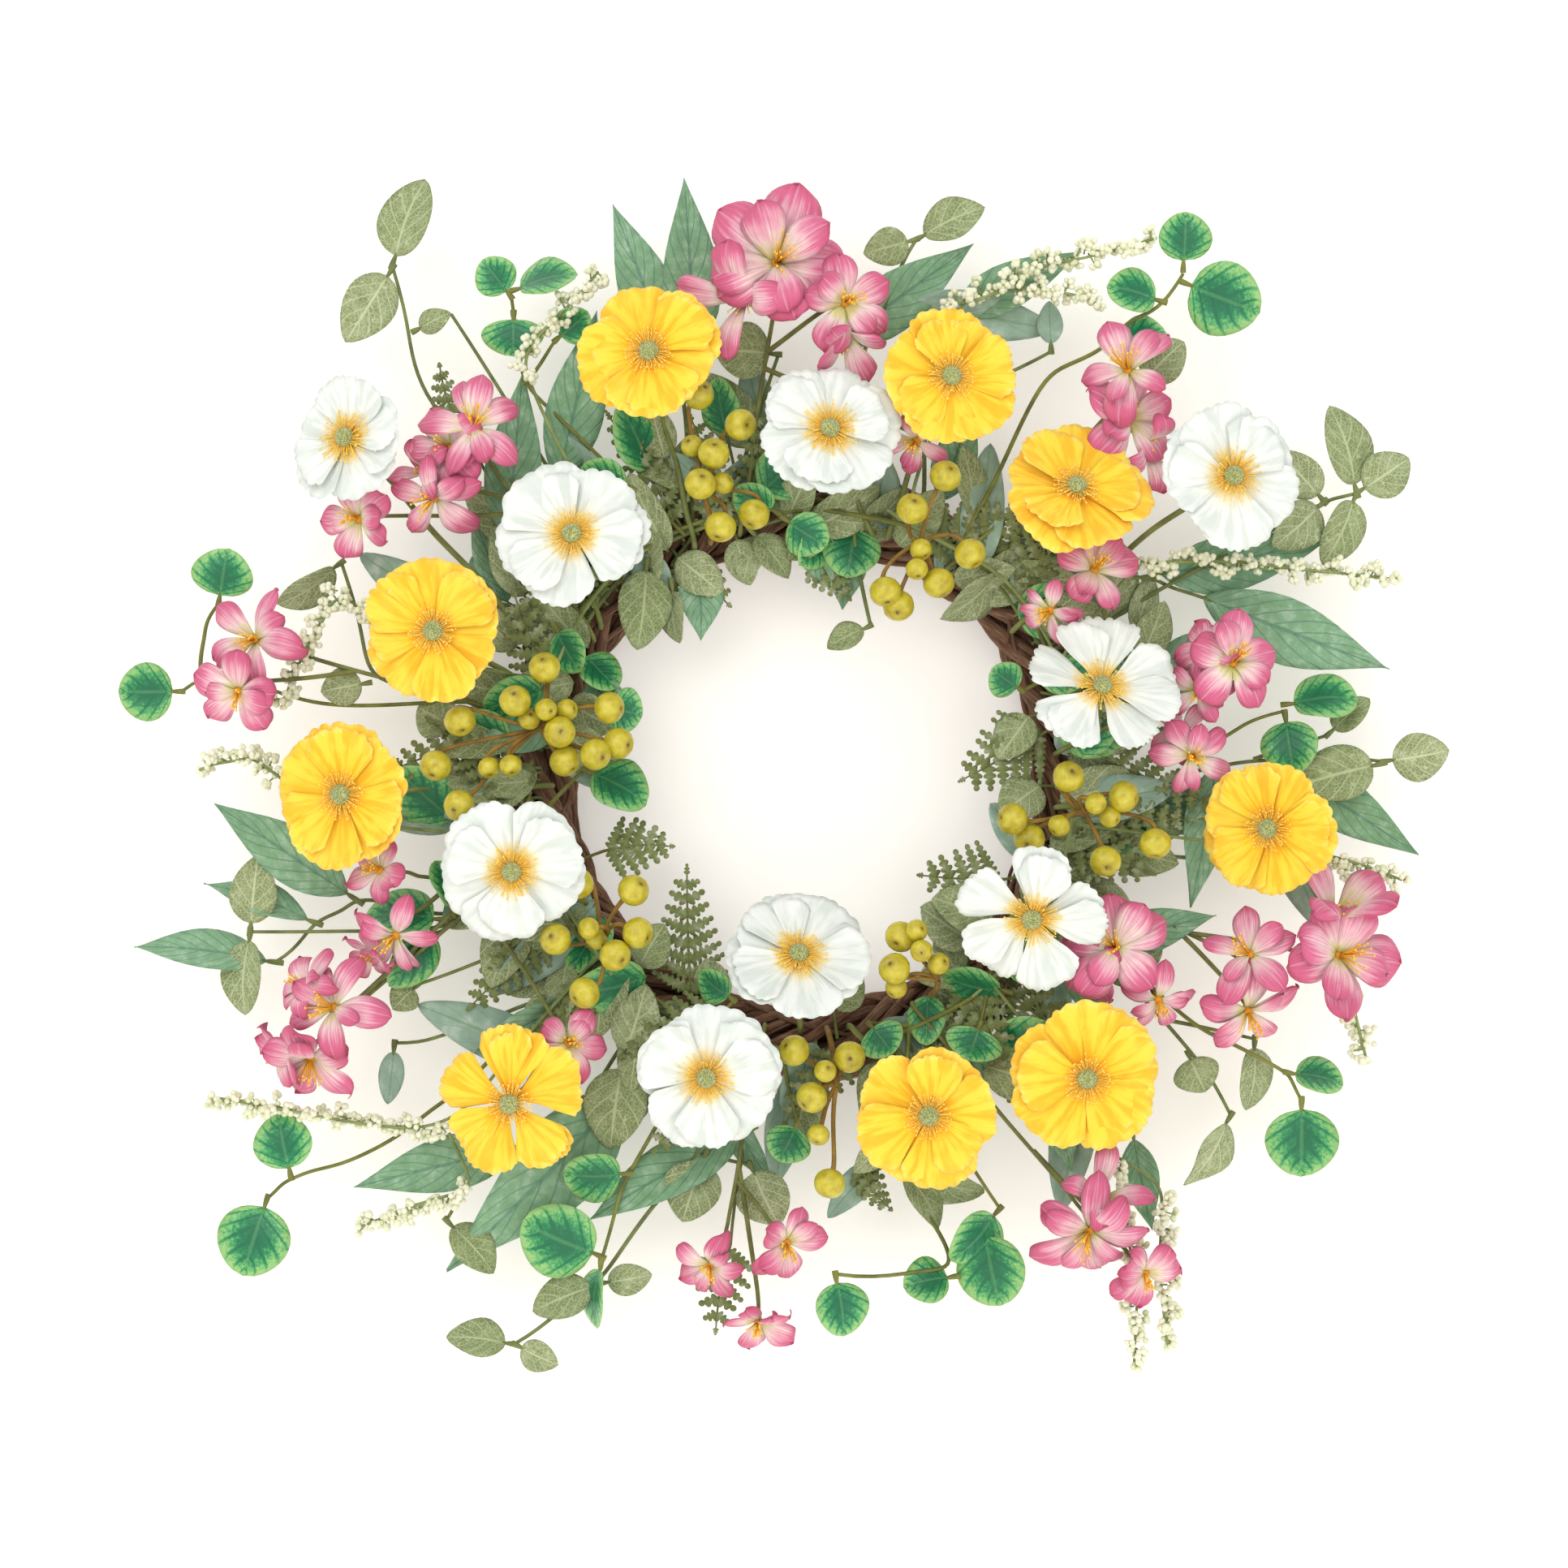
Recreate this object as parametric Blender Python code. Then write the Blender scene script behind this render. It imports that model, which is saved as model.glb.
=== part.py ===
"""Floral door wreath: a twisted vine ring carrying poppies, blossoms, berries and leaf sprays.

Units are metres, +Z is up, the face of the wreath looks along -Y and its back lies along +Y.
The origin is the rest of the hook that carries it, on the inner top of the vine ring.
Lists give millimetres from the middle of the ring: x to the right, z up.
"""

import math

import bmesh
import bpy
from mathutils import Matrix, Vector

MM = 0.001

# Vine ring
RING_RADIUS = 123.0
STRAND_COUNT = 5
STRAND_RADIUS = 4.9
STRAND_ORBIT = 12.0
STRAND_TURNS = 5
CORE_RADIUS = 6.0
STRAND_STEPS = 45
STRAND_SIDES = 5
STRAND_ROLL = math.radians(54.0)
WALL_FLAT_Y = 15.0
HOOK_REST_Z = RING_RADIUS - STRAND_ORBIT - STRAND_RADIUS

# Depth of each layer of greenery in front of the ring, and how far it falls back further out
FERN_Y = -20.5
SAGE_Y = -25.0
NET_Y = -29.5
DAPPLED_Y = -34.0
SEED_Y = -41.0
POPPY_STEM_Y = -47.0
BLOSSOM_STEM_Y = -50.2
BERRY_STEM_Y = -53.6
FALL_START = 150.0
FALL_RATE = 0.06

# Stems and blades
MAIN_STEM_RADIUS = 1.5
STEM_SIDES = 3
BLADE_THICKNESS = 0.8
ARC_RADIUS = 129.0
DIVE_RADIUS = 114.0
DIVE_END_Y = -18.6

# Flowers and fruit
POPPY_LOBES = 5
BLOSSOM_NOTCH = 0.42
BERRY_FORWARD = 6.0
BERRY_RADIUS = 7.0
SMALL_BERRY_RADIUS = 5.0
SEED_RADIUS = 3.6
SEED_CLUSTER_STEP = 22.0
LEAFLET_STEP = 19.0
LEAFLET_WIDTH = 7.5

# Edges sharper than this stay crisp where round pieces are shaded smooth
SHARP_ANGLE = math.radians(50.0)

COLOURS = {
    "vine": (0.112, 0.052, 0.047, 1.0),
    "yellow": (0.947, 0.604, 0.034, 1.0),
    "white": (0.83, 0.86, 0.80, 1.0),
    "pink": (0.708, 0.165, 0.346, 1.0),
    "berry": (0.503, 0.413, 0.017, 1.0),
    "sage": (0.156, 0.323, 0.235, 1.0),
    "dappled": (0.03, 0.30, 0.085, 1.0),
    "net": (0.262, 0.352, 0.115, 1.0),
    "fern": (0.114, 0.13, 0.037, 1.0),
    "seed": (0.665, 0.679, 0.41, 1.0),
}


def clear_scene():
    for obj in list(bpy.data.objects):
        bpy.data.objects.remove(obj, do_unlink=True)


def material(slot):
    found = bpy.data.materials.get(slot)
    if found:
        return found
    made = bpy.data.materials.new(slot)
    made.use_nodes = True
    shader = made.node_tree.nodes["Principled BSDF"]
    shader.inputs["Base Color"].default_value = COLOURS[slot]
    shader.inputs["Roughness"].default_value = 0.3 if slot == "berry" else 0.7
    made.diffuse_color = COLOURS[slot]
    return made


def on_ring(clock, radius, y):
    """A point given by its clock angle in degrees, clockwise from the top."""
    turn = math.radians(clock)
    return Vector((radius * math.sin(turn), y, radius * math.cos(turn)))


def clock_of(x, z):
    """The clock angle of a point, in degrees clockwise from the top."""
    return math.degrees(math.atan2(x, z))


def layered(x, z, y):
    """A point of a layer, which falls back towards the wall away from the ring."""
    beyond = max(0.0, math.hypot(x, z) - FALL_START)
    return Vector((x, y + FALL_RATE * beyond, z))


def to_frame(bm):
    """Millimetres round the ring's middle become metres from the hook rest."""
    bmesh.ops.translate(bm, verts=bm.verts, vec=(0.0, 0.0, -HOOK_REST_Z))
    bmesh.ops.scale(bm, verts=bm.verts, vec=(MM, MM, MM))


def face_outward(bm):
    bmesh.ops.recalc_face_normals(bm, faces=bm.faces)
    if bm.calc_volume(signed=True) < 0.0:
        bmesh.ops.reverse_faces(bm, faces=bm.faces)


def shade_round(mesh):
    mesh.shade_smooth()
    mesh.set_sharp_from_angle(angle=SHARP_ANGLE)


def new_object(name, bm, slot):
    face_outward(bm)
    mesh = bpy.data.meshes.new(name)
    bm.to_mesh(mesh)
    bm.free()
    shade_round(mesh)
    mesh.materials.append(material(slot))
    obj = bpy.data.objects.new(name, mesh)
    bpy.context.scene.collection.objects.link(obj)
    return obj


def frame_along(direction, hint=Vector((0.0, 1.0, 0.0))):
    """Three axes whose third runs along the direction."""
    along = direction.normalized()
    if abs(along.dot(hint)) > 0.95:
        hint = Vector((1.0, 0.0, 0.31))
    side = hint.cross(along).normalized()
    return side, along.cross(side), along


def sweep(bm, path, radii, sides=STEM_SIDES):
    """A closed tube: a capped circle extruded from point to point."""
    made = bmesh.ops.create_circle(bm, cap_ends=True, segments=sides, radius=1.0)
    ring = list(made["verts"])
    face = ring[0].link_faces[0]
    flat = [vert.co.copy() for vert in face.verts]
    for index, centre in enumerate(path):
        if index:
            inner = face
            grown = bmesh.ops.extrude_face_region(bm, geom=[face])["geom"]
            face = [item for item in grown if isinstance(item, bmesh.types.BMFace)][0]
            if index > 1:
                bmesh.ops.delete(bm, geom=[inner], context="FACES_ONLY")
        before = path[max(index - 1, 0)]
        after = path[min(index + 1, len(path) - 1)]
        along = (after - before).normalized()
        if index:
            side = (side - along * side.dot(along)).normalized()
        else:
            side = frame_along(along)[0]
        lift = along.cross(side)
        for vert, spot in zip(face.verts, flat):
            vert.co = centre + (side * spot.x + lift * spot.y) * radii[index]


def stem_part(path, radius=MAIN_STEM_RADIUS, end_radius=None):
    bm = bmesh.new()
    last = end_radius or radius
    count = len(path)
    radii = [radius + (last - radius) * i / (count - 1) for i in range(count)]
    sweep(bm, path, radii)
    return bm


def blade_part(base, tip, width, stations, y, bow=0.5):
    """A thin closed leaf: a grid shaped to its outline, bowed and solidified."""
    bm = bmesh.new()
    steps = len(stations) - 1
    bmesh.ops.create_grid(bm, x_segments=1, y_segments=steps, size=1.0)
    start = layered(base[0], base[1], y)
    end = layered(tip[0], tip[1], y)
    along = end - start
    across = along.cross(Vector((0.0, 1.0, 0.0))).normalized()
    for vert in bm.verts:
        step = round((vert.co.y + 1.0) / 2.0 * steps)
        share, breadth = stations[step]
        out = vert.co.x * breadth * width / 2.0
        rise = bow * math.sin(math.pi * share)
        vert.co = start + along * share + across * out + Vector((0.0, -rise, 0.0))
    bmesh.ops.recalc_face_normals(bm, faces=bm.faces)
    bmesh.ops.solidify(bm, geom=bm.faces[:], thickness=BLADE_THICKNESS)
    return bm


def shells_of(bm):
    """The faces of each connected shell."""
    waiting = set(bm.faces)
    while waiting:
        shell = [waiting.pop()]
        for face in shell:
            for edge in face.edges:
                for other in edge.link_faces:
                    if other in waiting:
                        waiting.discard(other)
                        shell.append(other)
        yield shell


def shell_volume(shell):
    """The volume a shell holds, in cubic millimetres, from the cones its faces make."""
    total = 0.0
    for face in shell:
        corners = [vert.co for vert in face.verts]
        for second, third in zip(corners[1:], corners[2:]):
            total += corners[0].dot(second.cross(third)) / 6.0
    return abs(total) / MM**3


def drop_slivers(mesh, least=5.0):
    """Removes shells under a few cubic millimetres that a union can leave where stems graze."""
    bm = bmesh.new()
    bm.from_mesh(mesh)
    small = [face for shell in shells_of(bm) if shell_volume(shell) < least for face in shell]
    if small:
        bmesh.ops.delete(bm, geom=small, context="FACES")
        bm.to_mesh(mesh)
    bm.free()


def fuse(name, parts, slot):
    """One closed body: an exact union of overlapping closed parts."""
    helpers = []
    group = bpy.data.collections.new(name + "_parts")
    bpy.context.scene.collection.children.link(group)
    for index, bm in enumerate(parts):
        to_frame(bm)
        helper = new_object(f"{name}_part_{index}", bm, slot)
        helpers.append(helper)
        if index:
            bpy.context.scene.collection.objects.unlink(helper)
            group.objects.link(helper)
    first = helpers[0]
    if len(helpers) > 1:
        union = first.modifiers.new("join", "BOOLEAN")
        union.operation = "UNION"
        union.solver = "EXACT"
        union.operand_type = "COLLECTION"
        union.collection = group
        union.use_self = True
    graph = bpy.context.evaluated_depsgraph_get()
    joined = bpy.data.meshes.new_from_object(first.evaluated_get(graph))
    for helper in helpers:
        bpy.data.objects.remove(helper, do_unlink=True)
    bpy.data.collections.remove(group)
    drop_slivers(joined)
    shade_round(joined)
    joined.name = name
    if not joined.materials:
        joined.materials.append(material(slot))
    obj = bpy.data.objects.new(name, joined)
    bpy.context.scene.collection.objects.link(obj)
    return obj


def build_ring():
    """A core with strands laid round it like a rope, each a loop closed on itself."""
    for strand in range(STRAND_COUNT + 1):
        core = strand == STRAND_COUNT
        radius = CORE_RADIUS if core else STRAND_RADIUS
        orbit = 0.0 if core else STRAND_ORBIT
        steps = 32 if core else STRAND_STEPS
        sides = 6 if core else STRAND_SIDES
        bm = bmesh.new()
        bmesh.ops.create_grid(bm, x_segments=steps, y_segments=sides, size=1.0)
        for vert in bm.verts:
            turn = (vert.co.x + 1.0) * math.pi
            round_it = (vert.co.y + 1.0) * math.pi + STRAND_ROLL
            phase = STRAND_TURNS * turn + 2.0 * math.pi * strand / STRAND_COUNT
            reach = RING_RADIUS + orbit * math.cos(phase) + radius * math.cos(round_it)
            depth = orbit * math.sin(phase) + radius * math.sin(round_it)
            vert.co = (reach * math.sin(turn), min(depth, WALL_FLAT_Y), reach * math.cos(turn))
        bmesh.ops.remove_doubles(bm, verts=bm.verts, dist=0.001)
        to_frame(bm)
        new_object("vine_core" if core else f"vine_strand_{strand + 1}", bm, "vine")


def head_part(centre, axis, profile, lobes, notch, wave):
    """A flower head turned about its axis, its rim cut into lobes."""
    bm = bmesh.new()
    verts = [bm.verts.new((reach, 0.0, rise)) for reach, rise in profile]
    edges = [bm.edges.new(pair) for pair in zip(verts, verts[1:])]
    bmesh.ops.spin(
        bm,
        geom=verts + edges,
        cent=(0.0, 0.0, 0.0),
        axis=(0.0, 0.0, 1.0),
        angle=2.0 * math.pi,
        steps=2 * lobes,
        use_merge=True,
    )
    bmesh.ops.remove_doubles(bm, verts=bm.verts, dist=0.001)
    widest = max(reach for reach, _ in profile)
    side, lift, along = frame_along(axis, Vector((0.0, 0.0, 1.0)))
    for vert in bm.verts:
        reach = math.hypot(vert.co.x, vert.co.y)
        share = max(0.0, reach / widest - 0.35) / 0.65
        slot = round(math.atan2(vert.co.y, vert.co.x) / math.pi * lobes)
        inner = slot % 2
        shrink = 1.0 - notch * share * inner
        flat = Vector((vert.co.x, vert.co.y)) * shrink
        rise = vert.co.z + wave * share * (1.0 if inner else -1.0)
        vert.co = centre + side * flat.x + lift * flat.y + along * rise
    bmesh.ops.triangulate(bm, faces=bm.faces[:], quad_method="SHORT_EDGE")
    return bm


def facing(clock, lean):
    """The way a flower looks: forward, leaning by some degrees towards a clock angle."""
    turn = math.radians(clock)
    tip = math.radians(lean)
    return Vector((math.sin(tip) * math.sin(turn), -math.cos(tip), math.sin(tip) * math.cos(turn)))


def stem_path(centre, axis, dive_clock, lane):
    """From behind the head, back to its lane, along that to the ring and down on to it."""
    neck = centre - axis * 12.0
    neck.y = min(neck.y, lane - 2.0)
    foot = on_ring(dive_clock, DIVE_RADIUS, lane)
    path = [centre - axis * 2.5, neck]
    if (foot - neck).length > 12.0:
        path.append(Vector((neck.x, lane, neck.z)).lerp(foot, 0.06))
    path.append(foot)
    path.append(on_ring(dive_clock, DIVE_RADIUS, DIVE_END_Y))
    return path


def nearest_on(spot, first, last, most=0.94):
    run = last - first
    share = (spot - first).dot(run) / run.length_squared
    return first + run * min(max(share, 0.04), most)


# Poppies: name, x, z, depth of the middle, petal radius, clock angle it leans to, lean, dive angle
POPPIES = (
    ("yellow_poppy_1", -70, 190, -70, 30, 340, 12, 334),
    ("yellow_poppy_2", 65, 179, -70, 29, 60, 16, 19),
    ("yellow_poppy_3", 121, 129, -72, 33, 10, 38, 36),
    ("yellow_poppy_4", -166, 65, -70, 31, 300, 10, 285),
    ("yellow_poppy_5", -208, -8, -64, 32, 270, 14, 268),
    ("yellow_poppy_6", -132, -146, -68, 34, 225, 18, 222),
    ("yellow_poppy_7", 55, -151, -74, 32, 180, 10, 170),
    ("yellow_poppy_8", 126, -135, -68, 34, 150, 8, 128),
    ("yellow_poppy_9", 208, -23, -64, 30, 250, 30, 97),
    ("white_poppy_1", -206, 152, -62, 28, 300, 30, 291),
    ("white_poppy_2", -104, 108, -74, 32, 340, 18, 306),
    ("white_poppy_3", 11, 155, -76, 30, 10, 16, 16),
    ("white_poppy_4", 192, 135, -62, 31, 60, 14, 55),
    ("white_poppy_5", 132, 40, -76, 34, 20, 32, 73),
    ("white_poppy_6", 101, -63, -76, 32, 190, 22, 122),
    ("white_poppy_7", -3, -80, -62, 32, 10, 34, 181),
    ("white_poppy_8", -44, -134, -76, 32, 200, 12, 193),
    ("white_poppy_9", -131, -42, -74, 33, 190, 14, 252),
)


def build_poppies():
    for name, x, z, y, radius, clock, lean, dive in POPPIES:
        centre = Vector((x, y, z))
        axis = facing(clock, lean)
        profile = (
            (0.0, 5.5),
            (5.4, 1.4),
            (0.62 * radius, 3.2),
            (radius, 5.0),
            (0.62 * radius, 1.2),
            (3.2, -4.0),
            (0.0, -6.0),
        )
        head = head_part(centre, axis, profile, POPPY_LOBES, 0.12, 1.6)
        stem = stem_part(stem_path(centre, axis, dive, POPPY_STEM_Y))
        fuse(name, [head, stem], "yellow" if name.startswith("yellow") else "white")


# Blossom sprigs: name, dive angle, heads as x, z, depth, radius, clock angle of the lean, lean
BLOSSOMS = (
    ("blossom_sprig_1", 345, (
        (-14, 233, -58, 31, 320, 15), (19, 212, -66, 20, 120, 20), (50, 150, -61, 15, 180, 20))),
    ("blossom_sprig_2", 303, (
        (-149, 158, -66, 23, 0, 14), (-168, 124, -58, 20, 210, 30), (-203, 116, -52, 16, 250, 30))),
    ("blossom_sprig_3", 281, (
        (-250, 63, -54, 21, 300, 25), (-256, 37, -62, 18, 220, 30))),
    ("blossom_sprig_4", 240, (
        (-193, -42, -54, 14, 280, 30), (-186, -74, -52, 19, 200, 40), (-106, -120, -61, 15, 120, 15),
        (-214, -103, -60, 23, 300, 25), (-224, -130, -52, 20, 190, 45))),
    ("blossom_sprig_5", 189, (
        (-44, -222, -56, 16, 220, 40), (-7, -211, -58, 17, 130, 35), (-21, -248, -54, 15, 180, 50))),
    ("blossom_sprig_6", 155, (
        (128, -207, -60, 25, 180, 30), (155, -226, -52, 17, 140, 45))),
    ("blossom_sprig_7", 110, (
        (199, -78, -62, 22, 330, 30), (243, -80, -54, 26, 70, 25), (201, -108, -54, 21, 160, 35),
        (140, -76, -62, 23, 40, 12), (160, -102, -56, 15, 150, 30))),
    ("blossom_sprig_8", 85, (
        (194, 52, -62, 20, 60, 25), (176, 39, -57, 16, 265, 20), (174, 8, -60, 18, 170, 20),
        (131, 94, -58, 18, 45, 20), (109, 74, -62, 14, 240, 30))),
    ("blossom_sprig_9", 34, (
        (148, 163, -53, 21, 60, 25), (144, 184, -62, 22, 320, 25))),
)


def build_blossoms():
    for name, dive, heads in BLOSSOMS:
        parts = []
        trunk = None
        for index, (x, z, y, radius, clock, lean) in enumerate(heads):
            centre = Vector((x, y, z))
            axis = facing(clock, lean)
            profile = (
                (0.0, 1.5),
                (0.5 * radius, 2.6),
                (radius, 4.0),
                (0.5 * radius, 0.6),
                (1.8, -5.0),
                (0.0, -5.5),
            )
            parts.append(head_part(centre, axis, profile, 5, BLOSSOM_NOTCH, 1.0))
            path = stem_path(centre, axis, dive, BLOSSOM_STEM_Y)
            if trunk:
                joint = nearest_on(path[1], trunk[-3], trunk[-2], 0.97 - 0.05 * index)
                path = path[:2] + [joint + (joint - path[1]).normalized() * 1.4]
            else:
                trunk = path
            parts.append(stem_part(path, 1.1))
        fuse(name, parts, "pink")


# Berry sprigs: name, dive angle, hub as x, z, then berries as x, z, depth, size (1 small, 2 full)
BERRIES = (
    ("berry_sprig_1", 338, (-46, 128), (
        (-48, 172, -52, 2), (-29, 158, -56, 2), (-41, 145, -58, 2), (-51, 149, -50, 1),
        (-47, 131, -62, 2), (-37, 132, -52, 1), (-38, 112, -58, 2), (-23, 118, -52, 2))),
    ("berry_sprig_2", 27, (52, 106), (
        (63, 135, -56, 2), (48, 120, -60, 2), (52, 102, -56, 1), (50, 93, -60, 1),
        (74, 100, -58, 2), (60, 87, -54, 2), (36, 83, -56, 2), (42, 77, -50, 2))),
    ("berry_sprig_3", 276, (-120, 22), (
        (-117, 49, -56, 2), (-130, 34, -60, 2), (-124, 26, -52, 1), (-116, 30, -62, 1),
        (-107, 30, -54, 1), (-110, 20, -60, 2), (-88, 31, -54, 2), (-155, 25, -56, 2),
        (-166, 5, -54, 2), (-142, 4, -56, 1), (-132, 5, -60, 1), (-108, 7, -52, 2),
        (-94, 10, -58, 2), (-84, 15, -52, 2), (-155, -13, -60, 2))),
    ("berry_sprig_4", 234, (-92, -72), (
        (-102, -48, -54, 2), (-77, -51, -58, 2), (-112, -73, -58, 2), (-97, -68, -60, 1),
        (-94, -73, -52, 1), (-75, -70, -60, 2), (-85, -80, -62, 2), (-99, -97, -58, 2))),
    ("berry_sprig_5", 175, (14, -140), (
        (-5, -123, -56, 2), (20, -126, -54, 2), (9, -132, -60, 1), (3, -144, -56, 2),
        (6, -161, -54, 1), (11, -183, -52, 2))),
    ("berry_sprig_6", 150, (60, -92), (
        (43, -72, -52, 2), (50, -69, -58, 1), (52, -78, -62, 1), (60, -84, -54, 1),
        (40, -86, -60, 2), (41, -95, -52, 1))),
    ("berry_sprig_7", 92, (126, -16), (
        (118, 0, -60, 2), (143, -9, -56, 2), (130, -12, -62, 1), (137, -18, -54, 1),
        (93, -19, -58, 2), (114, -22, -56, 1), (101, -28, -50, 2), (135, -38, -54, 2),
        (157, -30, -58, 2))),
)


def build_berries():
    for name, dive, hub, fruit in BERRIES:
        middle = Vector((hub[0], BERRY_STEM_Y, hub[1]))
        foot = on_ring(dive, DIVE_RADIUS, BERRY_STEM_Y)
        parts = [stem_part([middle, foot, on_ring(dive, DIVE_RADIUS, DIVE_END_Y)], 1.3)]
        for x, z, y, size in fruit:
            spot = Vector((x, y - BERRY_FORWARD, z))
            radius = BERRY_RADIUS if size == 2 else SMALL_BERRY_RADIUS
            bm = bmesh.new()
            bmesh.ops.create_uvsphere(bm, u_segments=5, v_segments=4, radius=radius)
            bmesh.ops.rotate(bm, verts=bm.verts, matrix=Matrix.Rotation(0.4 + x * 0.05, 3, "Y"))
            bmesh.ops.translate(bm, verts=bm.verts, vec=spot)
            parts.append(bm)
            if (spot - middle).length > radius:
                parts.append(stem_part([middle, spot], 1.2, 0.9))
        fuse(name, parts, "berry")


SAGE_SHAPE = ((0.0, 0.12), (0.25, 0.85), (0.5, 1.0), (0.76, 0.66), (1.0, 0.06))
ROUND_SHAPE = ((0.0, 0.3), (0.3, 0.97), (0.72, 0.92), (1.0, 0.3))
OVAL_SHAPE = ((0.0, 0.16), (0.32, 0.96), (0.7, 0.8), (1.0, 0.14))
LEAFLET_SHAPE = ((0.0, 1.0), (1.0, 0.25))

# Leaf sprays by quarter: side stems as points, then leaves as base x, z, tip x, z, width
SAGE = (
    ("nw",
     (((-52, 116), (-58, 186), (-70, 215)), ((-58, 186), (-52, 215)), ((-91, 91), (-111, 144)),
      ((-107, 72), (-135, 120)), ((-91, 91), (-81, 102)), ((-107, 72), (-144, 80), (-180, 87))),
     ((-70, 215, -88, 263, 26), (-52, 215, -55, 275, 27), (-111, 144, -95, 214, 27),
      (-135, 120, -129, 186, 26), (-81, 102, -61, 87, 16), (-180, 87, -204, 102, 22))),
    ("ne",
     (((25, 116), (25, 175), (30, 210)), ((51, 109), (58, 168), (71, 213)), ((71, 109), (82, 127)),
      ((58, 168), (113, 195)), ((102, 78), (131, 89), (159, 92), (188, 80))),
     ((30, 210, 78, 245, 27), (71, 213, 127, 241, 22), (71, 213, 115, 205, 22),
      (82, 127, 85, 153, 20), (113, 195, 112, 218, 12), (159, 92, 244, 111, 27),
      (188, 80, 269, 49, 31))),
    ("se",
     (((131, -19), (179, -1), (223, 3)), ((179, -1), (186, -8)), ((128, -30), (186, -38),
      (223, -38)), ((84, -104), (124, -162), (150, -162))),
     ((223, 3, 282, -36, 24), (186, -8, 177, -60, 22), (223, -38, 238, -71, 22),
      (150, -162, 159, -208, 18), (124, -162, 117, -199, 22))),
    ("sw",
     (((-125, -60), (-158, -63), (-206, -56), (-224, -67), (-243, -85)), ((-118, -74),
      (-129, -87)), ((-96, -96), (-151, -115), (-188, -122)), ((-74, -111), (-111, -173),
      (-144, -173)), ((-26, -129), (-26, -162))),
     ((-206, -56, -271, -12, 26), (-224, -67, -276, -48, 12), (-243, -85, -308, -77, 13),
      (-111, -173, -164, -228, 40), (-144, -173, -207, -188, 26), (-26, -162, -99, -202, 26),
      (-129, -87, -144, -100, 22), (-151, -115, -177, -104, 24), (-188, -122, -191, -150, 12))),
)
DAPPLED = (
    ("nw",
     (((-56, 113), (-78, 131), (-129, 179), (-134, 219)), ((-129, 179), (-114, 199)), ((-122, 61),
      (-114, 69)), ((-129, 36), (-217, 32), (-276, 47), (-285, 39)), ((-276, 47), (-274, 72),
      (-268, 79)), ((-129, 36), (-91, 32))),
     ((-134, 219, -147, 236, 20), (-134, 222, -104, 230, 18), (-133, 212, -133, 192, 29),
      (-114, 199, -99, 212, 18), (-78, 131, -102, 140, 18), (-114, 69, -102, 48, 18),
      (-91, 32, -74, 28, 22), (-268, 79, -263, 104, 29), (-285, 39, -314, 39, 27))),
    ("ne",
     (((65, 98), (109, 182), (142, 201), (164, 217), (173, 230)), ((113, 47), (99, 39)),
      ((124, 25), (186, 14), (219, 30)), ((14, 116), (-12, 120))),
     ((173, 232, 174, 258, 25), (173, 226, 208, 212, 35), (164, 217, 138, 224, 22),
      (142, 199, 165, 203, 18), (-12, 120, -32, 131, 15), (-10, 118, 10, 105, 18),
      (219, 29, 223, 1, 25), (219, 33, 252, 36, 14), (99, 39, 85, 49, 18))),
    ("se",
     (((124, -52), (179, -115), (220, -135), (227, -148)), ((93, -96), (80, -112)), ((51, -122),
      (43, -177), (69, -225), (14, -227)), ((69, -217), (89, -197)), ((51, -122), (29, -112))),
     ((227, -148, 227, -183, 34), (220, -135, 246, -140, 14), (93, -98, 63, -91, 21),
      (80, -112, 74, -129, 27), (29, -112, 40, -126, 22), (14, -227, 18, -255, 21),
      (69, -228, 45, -232, 22), (82, -206, 89, -242, 27), (89, -197, 67, -221, 16))),
    ("sw",
     (((-129, -19), (-100, 3)), ((-125, -45), (-165, -65)), ((-107, -85), (-158, -144),
      (-202, -173), (-235, -184), (-246, -193)), ((-52, -129), (-78, -177), (-93, -221)),
      ((-52, -129), (-32, -102)), ((-12, -133), (-3, -157))),
     ((-100, 3, -72, -12, 22), (-165, -65, -201, -63, 18), (-160, -63, -168, -38, 10),
      (-235, -183, -241, -154, 26), (-246, -193, -257, -228, 34), (-93, -219, -129, -203, 36),
      (-80, -181, -110, -181, 16), (-93, -221, -96, -252, 12), (-32, -102, -48, -89, 15),
      (-3, -157, -12, -175, 22))),
)
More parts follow.
